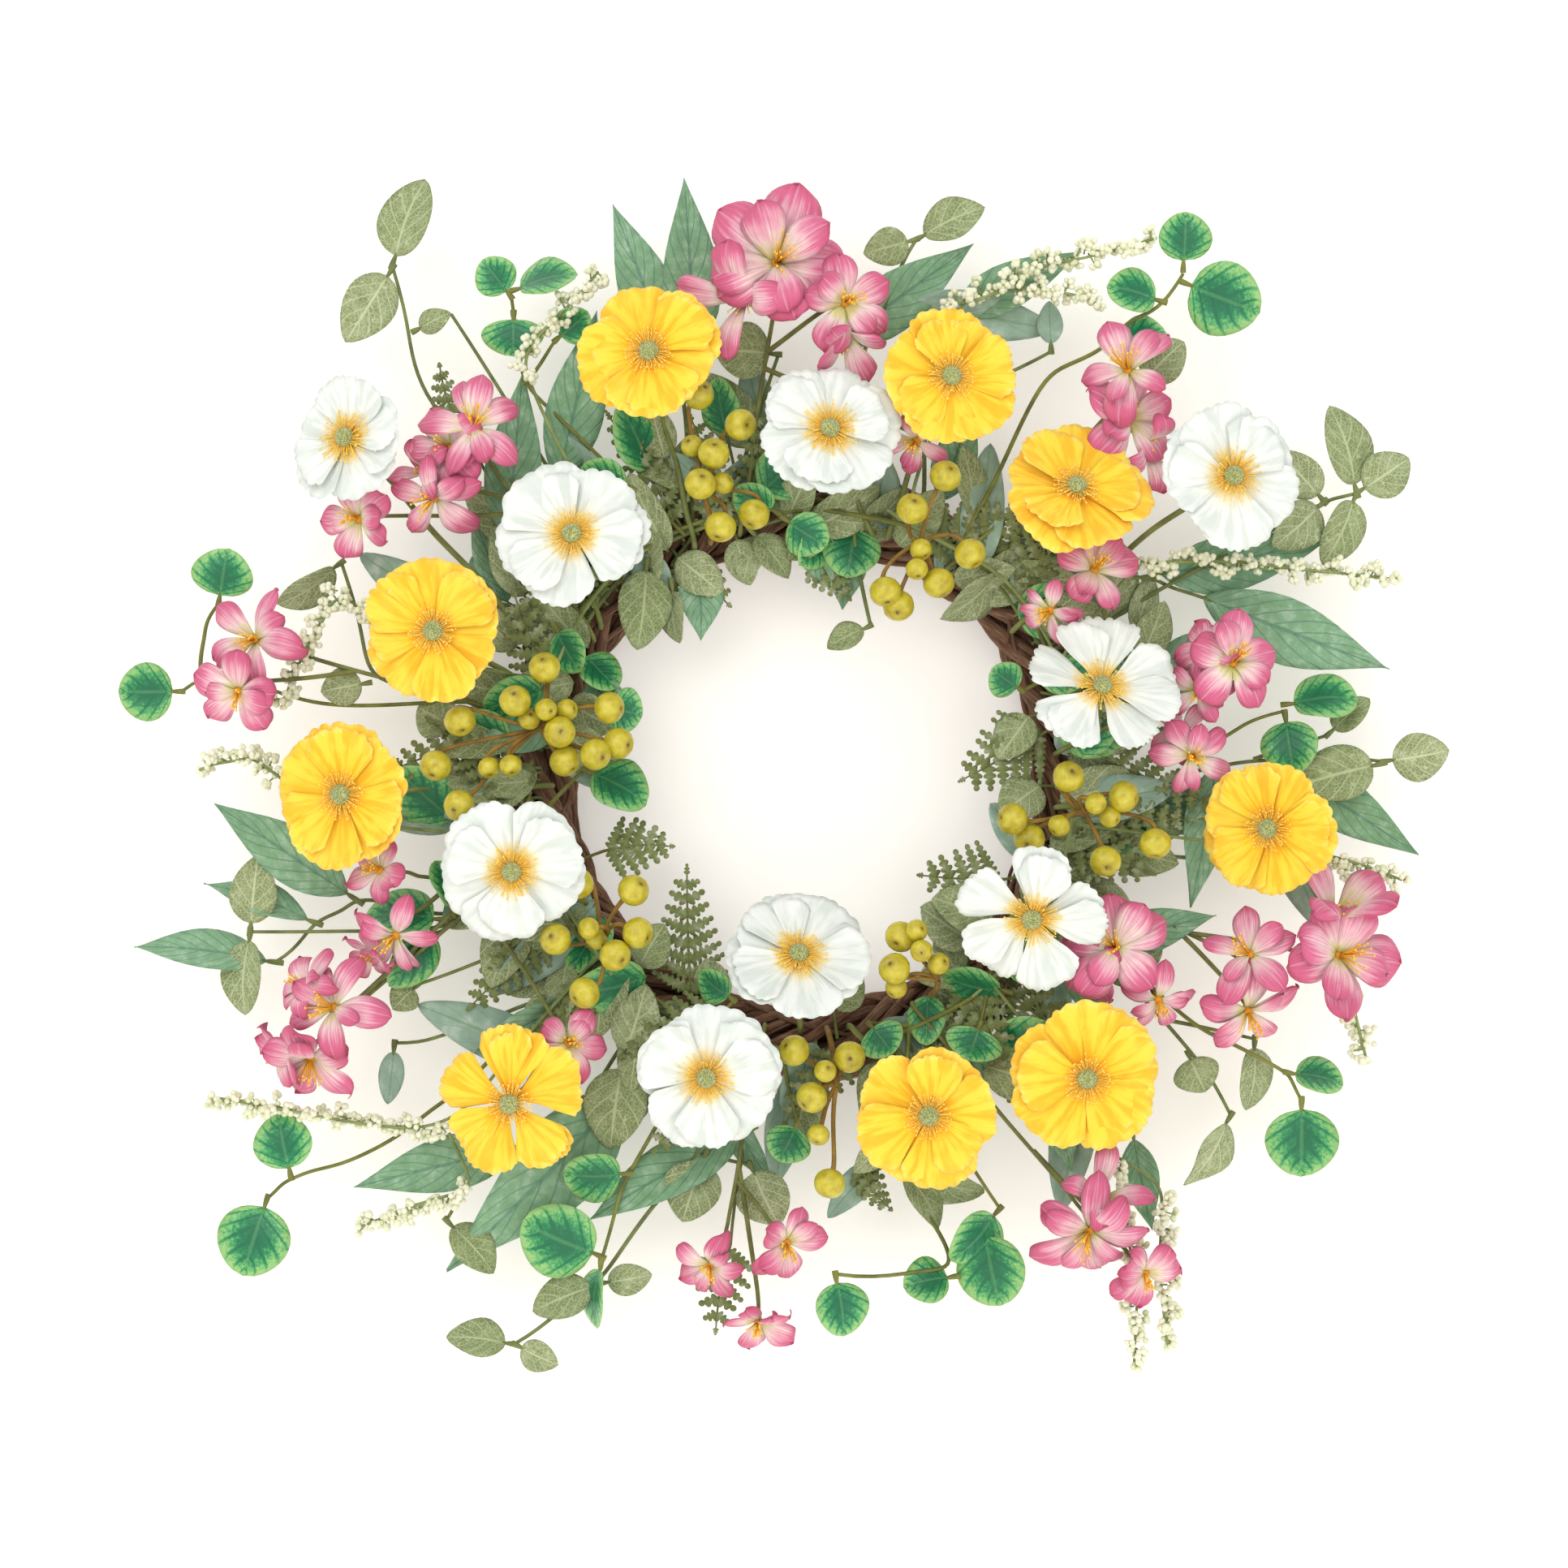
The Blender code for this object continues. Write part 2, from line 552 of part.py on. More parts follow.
NET = (
    ("nw",
     (((-74, 98), (-107, 116), (-175, 175), (-189, 234)), ((-179, 190), (-162, 212)), ((-125, 39),
      (-199, 43), (-212, 98)), ((-125, 39), (-158, 21)), ((-74, 98), (-70, 94)), ((-41, 124),
      (-12, 193))),
     ((-189, 235, -175, 275, 23), (-189, 233, -210, 199, 24), (-179, 204, -162, 212, 11),
      (-212, 98, -241, 78, 13), (-199, 43, -221, 39, 18), (-158, 21, -177, 32, 22),
      (-72, 98, -76, 58, 22), (-61, 89, -58, 61, 11), (-12, 193, -41, 195, 27))),
    ("ne",
     (((14, 116), (25, 193), (51, 246)), ((18, 98), (30, 69)), ((87, 80), (91, 96)), ((3, 116),
      (-25, 113)), ((113, 58), (179, 94), (238, 126), (253, 130)), ((87, 80), (153, 179))),
     ((51, 246, 27, 239, 18), (51, 246, 82, 261, 18), (30, 69, 10, 59, 13), (91, 96, 63, 71, 15),
      (-25, 113, -7, 91, 15), (253, 130, 241, 170, 24), (253, 130, 277, 146, 22),
      (253, 130, 238, 97, 18), (238, 126, 217, 149, 18), (238, 126, 214, 105, 22),
      (153, 179, 173, 199, 22))),
    ("se",
     (((135, -12), (205, 8), (265, 7)), ((205, 8), (239, 19)), ((120, -52), (164, -111),
      (195, -155)), ((164, -111), (206, -120)), ((36, -126), (43, -177))),
     ((265, 7, 295, 12, 23), (264, 6, 221, -5, 26), (239, 19, 258, 36, 10),
      (206, -120, 203, -153, 15), (175, -126, 183, -144, 22), (195, -155, 175, -188, 11),
      (43, -177, 62, -206, 13), (43, -177, 82, -191, 16), (40, -155, 23, -181, 10))),
    ("sw",
     (((-122, -56), (-180, -71), (-254, -71)), ((-114, -71), (-177, -95)), ((-63, -122),
      (-83, -129)), ((-34, -129), (-48, -173), (-94, -232), (-133, -260)), ((-48, -173),
      (-25, -177)), ((-107, -82), (-164, -203))),
     ((-254, -71, -250, -36, 22), (-254, -71, -257, -109, 19), (-177, -95, -188, -106, 15),
      (-83, -129, -72, -95, 22), (-83, -129, -89, -170, 29), (-45, -172, -56, -203, 27),
      (-25, -177, -12, -205, 26), (-94, -232, -125, -245, 20), (-94, -232, -70, -228, 15),
      (-133, -260, -164, -256, 18), (-133, -260, -113, -269, 15), (-164, -203, -142, -227, 13))),
)
SEED = (
    ("nw",
     (((-125, 47), (-180, 58), (-213, 85), (-235, 43), (-237, 32)), ((-81, 98), (-125, 179),
      (-129, 190), (-94, 230))),
     ()),
    ("ne",
     (((47, 116), (65, 175), (69, 215), (113, 235), (159, 245)), ((69, 215), (95, 223),
      (133, 217)), ((117, 50), (150, 98), (223, 94), (269, 90))),
     ()),
    ("se",
     (((131, -23), (223, -34), (272, -47)), ((223, -34), (241, -71), (256, -129)), ((91, -100),
      (142, -173), (150, -221), (150, -269)), ((142, -173), (164, -188), (166, -261))),
     ()),
    ("sw",
     (((-129, -38), (-217, -16), (-254, 10), (-276, 3)), ((-103, -89), (-162, -162), (-270, -146)),
      ((-162, -162), (-151, -188), (-202, -205))),
     ()),
)
FERN = (
    ("nw",
     (((-52, 113), (-61, 97)), ((-111, 69), (-122, 47)), ((-111, 69), (-158, 160))),
     ((-61, 97, -34, 78, 22), (-122, 47, -107, 80, 26), (-158, 160, -168, 190, 16))),
    ("ne",
     (((7, 116), (3, 102)), ((124, 28), (111, 21))),
     ((3, 102, 21, 81, 18), (111, 21, 71, -2, 35))),
    ("se",
     (((124, -45), (91, -47)), ((51, -126), (25, -177)), ((95, -96), (91, -126))),
     ((91, -47, 52, -45, 31), (25, -177, 40, -199, 15), (91, -126, 98, -151, 18))),
    ("sw",
     (((-118, -45), (-92, -34)), ((-59, -118), (-52, -104)), ((-23, -129), (-34, -214))),
     ((-52, -104, -54, -41, 31), (-92, -34, -60, -32, 26), (-34, -214, -41, -256, 26))),
)

def spray_stems(branches, y):
    """A stem laid along the ring, and side stems that leave it for the leaves."""
    inner = {spot for path in branches for spot in path[1:]}
    starts = {path[0] for path in branches if path[0] not in inner}
    roots = sorted(starts, key=lambda spot: clock_of(*spot) % 360.0)
    turns = [clock_of(*spot) % 360.0 for spot in roots]
    if max(turns) - min(turns) > 180.0:
        roots.sort(key=lambda spot: clock_of(*spot))
        turns = [clock_of(*spot) for spot in roots]
    arc = [on_ring(turns[0] - 4.0, ARC_RADIUS, y)]
    for index, turn in enumerate(turns):
        if index:
            gap = turn - turns[index - 1]
            extra = int(gap // 22.0)
            for step in range(extra):
                arc.append(on_ring(turns[index - 1] + gap * (step + 1) / (extra + 1), ARC_RADIUS, y))
        arc.append(on_ring(turn, ARC_RADIUS, y))
    arc.append(on_ring(turns[-1] + 4.0, ARC_RADIUS, y))
    stems = [stem_part(arc)]
    for path in branches:
        points = [layered(x, z, y) for x, z in path]
        if path[0] in roots:
            points[0] = on_ring(clock_of(*path[0]), ARC_RADIUS, y)
        stems.append(stem_part(points, 1.2, 0.9))
    return stems


def inset_base(base, tip, by=2.0):
    """Starts the blade a little behind its base, so that it overlaps the stem there."""
    run = math.hypot(tip[0] - base[0], tip[1] - base[1])
    return (base[0] - (tip[0] - base[0]) * by / run, base[1] - (tip[1] - base[1]) * by / run)


def build_leaf_sprays(kind, sprays, shape, y, slot):
    for quarter, branches, leaves in sprays:
        parts = spray_stems(branches, y)
        for bx, bz, tx, tz, width in leaves:
            base = inset_base((bx, bz), (tx, tz))
            parts.append(blade_part(base, (tx, tz), width, shape, y - 0.3))
        fuse(f"{kind}_{quarter}", parts, slot)


def build_ferns():
    """Each frond is a midrib with pairs of narrow leaflets."""
    for quarter, branches, fronds in FERN:
        parts = spray_stems(branches, FERN_Y)
        for bx, bz, tx, tz, width in fronds:
            base = Vector((bx, bz))
            tip = Vector((tx, tz))
            parts.append(stem_part([layered(bx, bz, FERN_Y), layered(tx, tz, FERN_Y)], 1.0, 0.7))
            along = (tip - base).normalized()
            length = (tip - base).length
            side = Vector((-along.y, along.x))
            pairs = max(2, int(length / LEAFLET_STEP))
            for pair in range(pairs):
                foot = base + along * length * (0.12 + 0.8 * pair / pairs)
                reach = width * 0.5 * (1.0 - 0.75 * pair / pairs)
                for hand in (-1.0, 1.0):
                    end = foot + (side * hand + along * 0.45) * reach
                    parts.append(
                        blade_part(tuple(foot), tuple(end), LEAFLET_WIDTH, LEAFLET_SHAPE, FERN_Y, 0.2)
                    )
        fuse(f"fern_spray_{quarter}", parts, "fern")


def build_seed_sprays():
    """Stems whose outer runs carry a dense sleeve of small seeds, here one lumpy rod."""
    for quarter, branches, _ in SEED:
        parts = spray_stems(branches, SEED_Y)
        for path in branches:
            points = [layered(x, z, SEED_Y) for x, z in path[1:]]
            for first, second in zip(points, points[1:]):
                run = (second - first).length
                count = max(1, round(run / SEED_CLUSTER_STEP))
                line = []
                radii = []
                for step in range(2 * count + 1):
                    line.append(first.lerp(second, (step + 0.5) / (2 * count + 1)))
                    radii.append(SEED_RADIUS if step % 2 else SEED_RADIUS * 0.62)
                bm = bmesh.new()
                sweep(bm, line, radii)
                parts.append(bm)
        fuse(f"seed_spray_{quarter}", parts, "seed")


def main():
    clear_scene()
    build_ring()
    build_poppies()
    build_blossoms()
    build_berries()
    build_leaf_sprays("sage_spray", SAGE, SAGE_SHAPE, SAGE_Y, "sage")
    build_leaf_sprays("net_leaf_spray", NET, OVAL_SHAPE, NET_Y, "net")
    build_leaf_sprays("dappled_spray", DAPPLED, ROUND_SHAPE, DAPPLED_Y, "dappled")
    build_seed_sprays()
    build_ferns()


main()
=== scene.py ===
"""Looks for a floral door wreath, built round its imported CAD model.

Lists give millimetres from the middle of the vine ring, x to the right and z up, as the CAD does.
Every piece is finished in metres in the CAD frame, whose origin is the rest of the hook.
"""

import math
import random

import bmesh
import bpy
from bpy.props import FloatProperty, FloatVectorProperty, IntProperty, PointerProperty
from mathutils import Matrix, Vector, noise


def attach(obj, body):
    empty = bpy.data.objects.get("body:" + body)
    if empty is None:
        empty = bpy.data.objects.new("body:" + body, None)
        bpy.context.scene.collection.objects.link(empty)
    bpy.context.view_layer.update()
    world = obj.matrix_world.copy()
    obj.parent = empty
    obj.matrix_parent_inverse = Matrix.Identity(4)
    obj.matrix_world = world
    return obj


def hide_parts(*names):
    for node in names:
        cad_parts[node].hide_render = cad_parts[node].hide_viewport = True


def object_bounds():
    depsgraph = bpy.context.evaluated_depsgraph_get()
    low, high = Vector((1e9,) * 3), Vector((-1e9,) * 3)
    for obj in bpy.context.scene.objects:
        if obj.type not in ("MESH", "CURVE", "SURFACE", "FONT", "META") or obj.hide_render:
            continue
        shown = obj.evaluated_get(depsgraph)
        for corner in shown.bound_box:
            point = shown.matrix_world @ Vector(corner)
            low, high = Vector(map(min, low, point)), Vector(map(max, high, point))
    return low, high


bl_info = {
    "name": "Floral door wreath",
    "version": (1, 0, 0),
    "blender": (4, 5, 0),
    "location": "View3D > Sidebar > Wreath",
    "description": "Builds the vine ring, flowers, fruit and leaf sprays of a floral door wreath",
    "category": "Object",
}

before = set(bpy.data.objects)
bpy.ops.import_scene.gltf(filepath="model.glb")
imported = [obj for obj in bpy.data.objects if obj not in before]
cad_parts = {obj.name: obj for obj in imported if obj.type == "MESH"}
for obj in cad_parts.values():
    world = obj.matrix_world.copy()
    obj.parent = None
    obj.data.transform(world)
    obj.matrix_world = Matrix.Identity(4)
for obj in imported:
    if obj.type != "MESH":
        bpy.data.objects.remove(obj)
CAD_LOW, CAD_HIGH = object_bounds()

MM = 0.001
FULL_TURN = 2.0 * math.pi
FORWARD = Vector((0.0, -1.0, 0.0))
UPRIGHT = Vector((0.0, 0.0, 1.0))
QUARTER = 90.0
QUARTER_START = 270.0
RING_RADIUS = 123.0
HOOK_REST_Z = 106.1
STRAND_COUNT = 5
STRAND_TURNS = 5
STRAND_ORBIT = 12.0
WALL_FLAT_Y = 15.0
FERN_Y = -20.5
SAGE_Y = -25.0
NET_Y = -29.5
DAPPLED_Y = -34.0
SEED_Y = -41.0
POPPY_STEM_Y = -47.0
BLOSSOM_STEM_Y = -50.2
BERRY_STEM_Y = -53.6
BERRY_FORWARD = 6.0
FALL_START = 150.0
FALL_RATE = 0.06
ARC_RADIUS = 129.0
DIVE_RADIUS = 114.0
DIVE_END_Y = -14.0
STEM_DROP = 20.0

# Poppies: name, x, z, depth of the middle, petal radius, clock angle it leans to, lean, dive angle
POPPIES = (
    ("yellow_poppy_1", -70, 190, -70, 30, 340, 12, 334),
    ("yellow_poppy_2", 65, 179, -70, 29, 60, 16, 19),
    ("yellow_poppy_3", 121, 129, -72, 33, 10, 38, 36),
    ("yellow_poppy_4", -166, 65, -70, 31, 300, 10, 285),
    ("yellow_poppy_5", -208, -8, -64, 32, 270, 14, 268),
    ("yellow_poppy_6", -132, -146, -68, 34, 225, 18, 222),
    ("yellow_poppy_7", 55, -151, -74, 32, 180, 10, 170),
    ("yellow_poppy_8", 126, -135, -68, 34, 150, 8, 128),
    ("yellow_poppy_9", 208, -23, -64, 30, 250, 30, 97),
    ("white_poppy_1", -206, 152, -62, 28, 300, 30, 291),
    ("white_poppy_2", -104, 108, -74, 32, 340, 18, 306),
    ("white_poppy_3", 11, 155, -76, 30, 10, 16, 16),
    ("white_poppy_4", 192, 135, -62, 31, 60, 14, 55),
    ("white_poppy_5", 132, 40, -76, 34, 20, 32, 73),
    ("white_poppy_6", 101, -63, -76, 32, 190, 22, 122),
    ("white_poppy_7", -3, -80, -62, 32, 10, 34, 181),
    ("white_poppy_8", -44, -134, -76, 32, 200, 12, 193),
    ("white_poppy_9", -131, -42, -74, 33, 190, 14, 252),
)

# Blossom sprigs: name, dive angle, heads as x, z, depth, radius, clock angle of the lean, lean
BLOSSOMS = (
    ("blossom_sprig_1", 345, (
        (-14, 233, -58, 31, 320, 15), (19, 212, -66, 20, 120, 20), (50, 150, -61, 15, 180, 20))),
    ("blossom_sprig_2", 303, (
        (-149, 158, -66, 23, 0, 14), (-168, 124, -58, 20, 210, 30), (-203, 116, -52, 16, 250, 30))),
    ("blossom_sprig_3", 281, (
        (-250, 63, -54, 21, 300, 25), (-256, 37, -62, 18, 220, 30))),
    ("blossom_sprig_4", 240, (
        (-193, -42, -54, 14, 280, 30), (-186, -74, -52, 19, 200, 40), (-106, -120, -61, 15, 120, 15),
        (-214, -103, -60, 23, 300, 25), (-224, -130, -52, 20, 190, 45))),
    ("blossom_sprig_5", 189, (
        (-44, -222, -56, 16, 220, 40), (-7, -211, -58, 17, 130, 35), (-21, -248, -54, 15, 180, 50))),
    ("blossom_sprig_6", 155, (
        (128, -207, -60, 25, 180, 30), (155, -226, -52, 17, 140, 45))),
    ("blossom_sprig_7", 110, (
        (199, -78, -62, 22, 330, 30), (243, -80, -54, 26, 70, 25), (201, -108, -54, 21, 160, 35),
        (140, -76, -62, 23, 40, 12), (160, -102, -56, 15, 150, 30))),
    ("blossom_sprig_8", 85, (
        (194, 52, -62, 20, 60, 25), (176, 39, -57, 16, 265, 20), (174, 8, -60, 18, 170, 20),
        (131, 94, -58, 18, 45, 20), (109, 74, -62, 14, 240, 30))),
    ("blossom_sprig_9", 34, (
        (148, 163, -53, 21, 60, 25), (144, 184, -62, 22, 320, 25))),
)

# Berry sprigs: name, dive angle, hub as x, z, then berries as x, z, depth, size (1 small, 2 full)
BERRIES = (
    ("berry_sprig_1", 338, (-46, 128), (
        (-48, 172, -52, 2), (-29, 158, -56, 2), (-41, 145, -58, 2), (-51, 149, -50, 1),
        (-47, 131, -62, 2), (-37, 132, -52, 1), (-38, 112, -58, 2), (-23, 118, -52, 2))),
    ("berry_sprig_2", 27, (52, 106), (
        (63, 135, -56, 2), (48, 120, -60, 2), (52, 102, -56, 1), (50, 93, -60, 1),
        (74, 100, -58, 2), (60, 87, -54, 2), (36, 83, -56, 2), (42, 77, -50, 2))),
    ("berry_sprig_3", 276, (-120, 22), (
        (-117, 49, -56, 2), (-130, 34, -60, 2), (-124, 26, -52, 1), (-116, 30, -62, 1),
        (-107, 30, -54, 1), (-110, 20, -60, 2), (-88, 31, -54, 2), (-155, 25, -56, 2),
        (-166, 5, -54, 2), (-142, 4, -56, 1), (-132, 5, -60, 1), (-108, 7, -52, 2),
        (-94, 10, -58, 2), (-84, 15, -52, 2), (-155, -13, -60, 2))),
    ("berry_sprig_4", 234, (-92, -72), (
        (-102, -48, -54, 2), (-77, -51, -58, 2), (-112, -73, -58, 2), (-97, -68, -60, 1),
        (-94, -73, -52, 1), (-75, -70, -60, 2), (-85, -80, -62, 2), (-99, -97, -58, 2))),
    ("berry_sprig_5", 175, (14, -140), (
        (-5, -123, -56, 2), (20, -126, -54, 2), (9, -132, -60, 1), (3, -144, -56, 2),
        (6, -161, -54, 1), (11, -183, -52, 2))),
    ("berry_sprig_6", 150, (60, -92), (
        (43, -72, -52, 2), (50, -69, -58, 1), (52, -78, -62, 1), (60, -84, -54, 1),
        (40, -86, -60, 2), (41, -95, -52, 1))),
    ("berry_sprig_7", 92, (126, -16), (
        (118, 0, -60, 2), (143, -9, -56, 2), (130, -12, -62, 1), (137, -18, -54, 1),
        (93, -19, -58, 2), (114, -22, -56, 1), (101, -28, -50, 2), (135, -38, -54, 2),
        (157, -30, -58, 2))),
)

# Sprays by quarter: side stems as points, then leaves as base x, z, tip x, z, width. Seeds have no leaves
SAGE = (
    ("nw",
     (((-52, 116), (-58, 186), (-70, 215)), ((-58, 186), (-52, 215)), ((-91, 91), (-111, 144)),
      ((-107, 72), (-135, 120)), ((-91, 91), (-81, 102)), ((-107, 72), (-144, 80), (-180, 87))),
     ((-70, 215, -88, 263, 26), (-52, 215, -55, 275, 27), (-111, 144, -95, 214, 27),
      (-135, 120, -129, 186, 26), (-81, 102, -61, 87, 16), (-180, 87, -204, 102, 22))),
    ("ne",
     (((25, 116), (25, 175), (30, 210)), ((51, 109), (58, 168), (71, 213)), ((71, 109), (82, 127)),
      ((58, 168), (113, 195)), ((102, 78), (131, 89), (159, 92), (188, 80))),
     ((30, 210, 78, 245, 27), (71, 213, 127, 241, 22), (71, 213, 115, 205, 22),
      (82, 127, 85, 153, 20), (113, 195, 112, 218, 12), (159, 92, 244, 111, 27),
      (188, 80, 269, 49, 31))),
    ("se",
     (((131, -19), (179, -1), (223, 3)), ((179, -1), (186, -8)), ((128, -30), (186, -38),
      (223, -38)), ((84, -104), (124, -162), (150, -162))),
     ((223, 3, 282, -36, 24), (186, -8, 177, -60, 22), (223, -38, 238, -71, 22),
      (150, -162, 159, -208, 18), (124, -162, 117, -199, 22))),
    ("sw",
     (((-125, -60), (-158, -63), (-206, -56), (-224, -67), (-243, -85)), ((-118, -74),
      (-129, -87)), ((-96, -96), (-151, -115), (-188, -122)), ((-74, -111), (-111, -173),
      (-144, -173)), ((-26, -129), (-26, -162))),
     ((-206, -56, -271, -12, 26), (-224, -67, -276, -48, 12), (-243, -85, -308, -77, 13),
      (-111, -173, -164, -228, 40), (-144, -173, -207, -188, 26), (-26, -162, -99, -202, 26),
      (-129, -87, -144, -100, 22), (-151, -115, -177, -104, 24), (-188, -122, -191, -150, 12))),
)
DAPPLED = (
    ("nw",
     (((-56, 113), (-78, 131), (-129, 179), (-134, 219)), ((-129, 179), (-114, 199)), ((-122, 61),
      (-114, 69)), ((-129, 36), (-217, 32), (-276, 47), (-285, 39)), ((-276, 47), (-274, 72),
      (-268, 79)), ((-129, 36), (-91, 32))),
     ((-134, 219, -147, 236, 20), (-134, 222, -104, 230, 18), (-133, 212, -133, 192, 29),
      (-114, 199, -99, 212, 18), (-78, 131, -102, 140, 18), (-114, 69, -102, 48, 18),
      (-91, 32, -74, 28, 22), (-268, 79, -263, 104, 29), (-285, 39, -314, 39, 27))),
    ("ne",
     (((65, 98), (109, 182), (142, 201), (164, 217), (173, 230)), ((113, 47), (99, 39)),
      ((124, 25), (186, 14), (219, 30)), ((14, 116), (-12, 120))),
     ((173, 232, 174, 258, 25), (173, 226, 208, 212, 35), (164, 217, 138, 224, 22),
      (142, 199, 165, 203, 18), (-12, 120, -32, 131, 15), (-10, 118, 10, 105, 18),
      (219, 29, 223, 1, 25), (219, 33, 252, 36, 14), (99, 39, 85, 49, 18))),
    ("se",
     (((124, -52), (179, -115), (220, -135), (227, -148)), ((93, -96), (80, -112)), ((51, -122),
      (43, -177), (69, -225), (14, -227)), ((69, -217), (89, -197)), ((51, -122), (29, -112))),
     ((227, -148, 227, -183, 34), (220, -135, 246, -140, 14), (93, -98, 63, -91, 21),
      (80, -112, 74, -129, 27), (29, -112, 40, -126, 22), (14, -227, 18, -255, 21),
      (69, -228, 45, -232, 22), (82, -206, 89, -242, 27), (89, -197, 67, -221, 16))),
    ("sw",
     (((-129, -19), (-100, 3)), ((-125, -45), (-165, -65)), ((-107, -85), (-158, -144),
      (-202, -173), (-235, -184), (-246, -193)), ((-52, -129), (-78, -177), (-93, -221)),
      ((-52, -129), (-32, -102)), ((-12, -133), (-3, -157))),
     ((-100, 3, -72, -12, 22), (-165, -65, -201, -63, 18), (-160, -63, -168, -38, 10),
      (-235, -183, -241, -154, 26), (-246, -193, -257, -228, 34), (-93, -219, -129, -203, 36),
      (-80, -181, -110, -181, 16), (-93, -221, -96, -252, 12), (-32, -102, -48, -89, 15),
      (-3, -157, -12, -175, 22))),
)
NET = (
    ("nw",
     (((-74, 98), (-107, 116), (-175, 175), (-189, 234)), ((-179, 190), (-162, 212)), ((-125, 39),
      (-199, 43), (-212, 98)), ((-125, 39), (-158, 21)), ((-74, 98), (-70, 94)), ((-41, 124),
      (-12, 193))),
     ((-189, 235, -175, 275, 23), (-189, 233, -210, 199, 24), (-179, 204, -162, 212, 11),
      (-212, 98, -241, 78, 13), (-199, 43, -221, 39, 18), (-158, 21, -177, 32, 22),
      (-72, 98, -76, 58, 22), (-61, 89, -58, 61, 11), (-12, 193, -41, 195, 27))),
    ("ne",
     (((14, 116), (25, 193), (51, 246)), ((18, 98), (30, 69)), ((87, 80), (91, 96)), ((3, 116),
      (-25, 113)), ((113, 58), (179, 94), (238, 126), (253, 130)), ((87, 80), (153, 179))),
     ((51, 246, 27, 239, 18), (51, 246, 82, 261, 18), (30, 69, 10, 59, 13), (91, 96, 63, 71, 15),
      (-25, 113, -7, 91, 15), (253, 130, 241, 170, 24), (253, 130, 277, 146, 22),
      (253, 130, 238, 97, 18), (238, 126, 217, 149, 18), (238, 126, 214, 105, 22),
      (153, 179, 173, 199, 22))),
    ("se",
     (((135, -12), (205, 8), (265, 7)), ((205, 8), (239, 19)), ((120, -52), (164, -111),
      (195, -155)), ((164, -111), (206, -120)), ((36, -126), (43, -177))),
     ((265, 7, 295, 12, 23), (264, 6, 221, -5, 26), (239, 19, 258, 36, 10),
      (206, -120, 203, -153, 15), (175, -126, 183, -144, 22), (195, -155, 175, -188, 11),
      (43, -177, 62, -206, 13), (43, -177, 82, -191, 16), (40, -155, 23, -181, 10))),
    ("sw",
     (((-122, -56), (-180, -71), (-254, -71)), ((-114, -71), (-177, -95)), ((-63, -122),
      (-83, -129)), ((-34, -129), (-48, -173), (-94, -232), (-133, -260)), ((-48, -173),
      (-25, -177)), ((-107, -82), (-164, -203))),
     ((-254, -71, -250, -36, 22), (-254, -71, -257, -109, 19), (-177, -95, -188, -106, 15),
      (-83, -129, -72, -95, 22), (-83, -129, -89, -170, 29), (-45, -172, -56, -203, 27),
      (-25, -177, -12, -205, 26), (-94, -232, -125, -245, 20), (-94, -232, -70, -228, 15),
      (-133, -260, -164, -256, 18), (-133, -260, -113, -269, 15), (-164, -203, -142, -227, 13))),
)
SEED = (
    ("nw",
     (((-125, 47), (-180, 58), (-213, 85), (-235, 43), (-237, 32)), ((-81, 98), (-125, 179),
      (-129, 190), (-94, 230)))),
    ("ne",
     (((47, 116), (65, 175), (69, 215), (113, 235), (159, 245)), ((69, 215), (95, 223),
      (133, 217)), ((117, 50), (150, 98), (223, 94), (269, 90)))),
    ("se",
     (((131, -23), (223, -34), (272, -47)), ((223, -34), (241, -71), (256, -129)), ((91, -100),
      (142, -173), (150, -221), (150, -269)), ((142, -173), (164, -188), (166, -261)))),
    ("sw",
     (((-129, -38), (-217, -16), (-254, 10), (-276, 3)), ((-103, -89), (-162, -162), (-270, -146)),
      ((-162, -162), (-151, -188), (-202, -205)))),
)
FERN = (
    ("nw",
     (((-52, 113), (-61, 97)), ((-111, 69), (-122, 47)), ((-111, 69), (-158, 160))),
     ((-61, 97, -34, 78, 22), (-122, 47, -107, 80, 26), (-158, 160, -168, 190, 16))),
    ("ne",
     (((7, 116), (3, 102)), ((124, 28), (111, 21))),
     ((3, 102, 21, 81, 18), (111, 21, 71, -2, 35))),
    ("se",
     (((124, -45), (91, -47)), ((51, -126), (25, -177)), ((95, -96), (91, -126))),
     ((91, -47, 52, -45, 31), (25, -177, 40, -199, 15), (91, -126, 98, -151, 18))),
    ("sw",
     (((-118, -45), (-92, -34)), ((-59, -118), (-52, -104)), ((-23, -129), (-34, -214))),
     ((-52, -104, -54, -41, 31), (-92, -34, -60, -32, 26), (-34, -214, -41, -256, 26))),
)

# Poppies whose petals stand apart from each other
SPLAYED = ("yellow_poppy_6", "white_poppy_5", "white_poppy_6")


# ---------------------------------------------------------------- shared shapes

NEARLY_ALONG = 0.95
SPARE_HINT = Vector((1.0, 0.0, 0.31))
SHEET_WELD = 0.004
CANE_WELD = 0.002
STRAIGHT_RUN = 14.0
BEND_SHARES = (0.33, 0.67)
BEND_LIMIT = 0.07
STEM_START = 2.0
STEM_STRAIGHT = 8.0
NECK_REACH = 13.0
NECK_FORWARD = 4.0
SHORT_STEM = 12.0
LEVEL_SHARES = (0.15, 0.7)


def on_ring(clock, radius, y):
    """A point given by its clock angle in degrees, clockwise from the top."""
    turn = math.radians(clock)
    return Vector((radius * math.sin(turn), y, radius * math.cos(turn)))


def clock_of(x, z):
    """The clock angle of a place, in degrees."""
    return math.degrees(math.atan2(x, z))


def any_turn(rng):
    """A whole turn's worth of angle, by chance."""
    return rng.uniform(0.0, FULL_TURN)


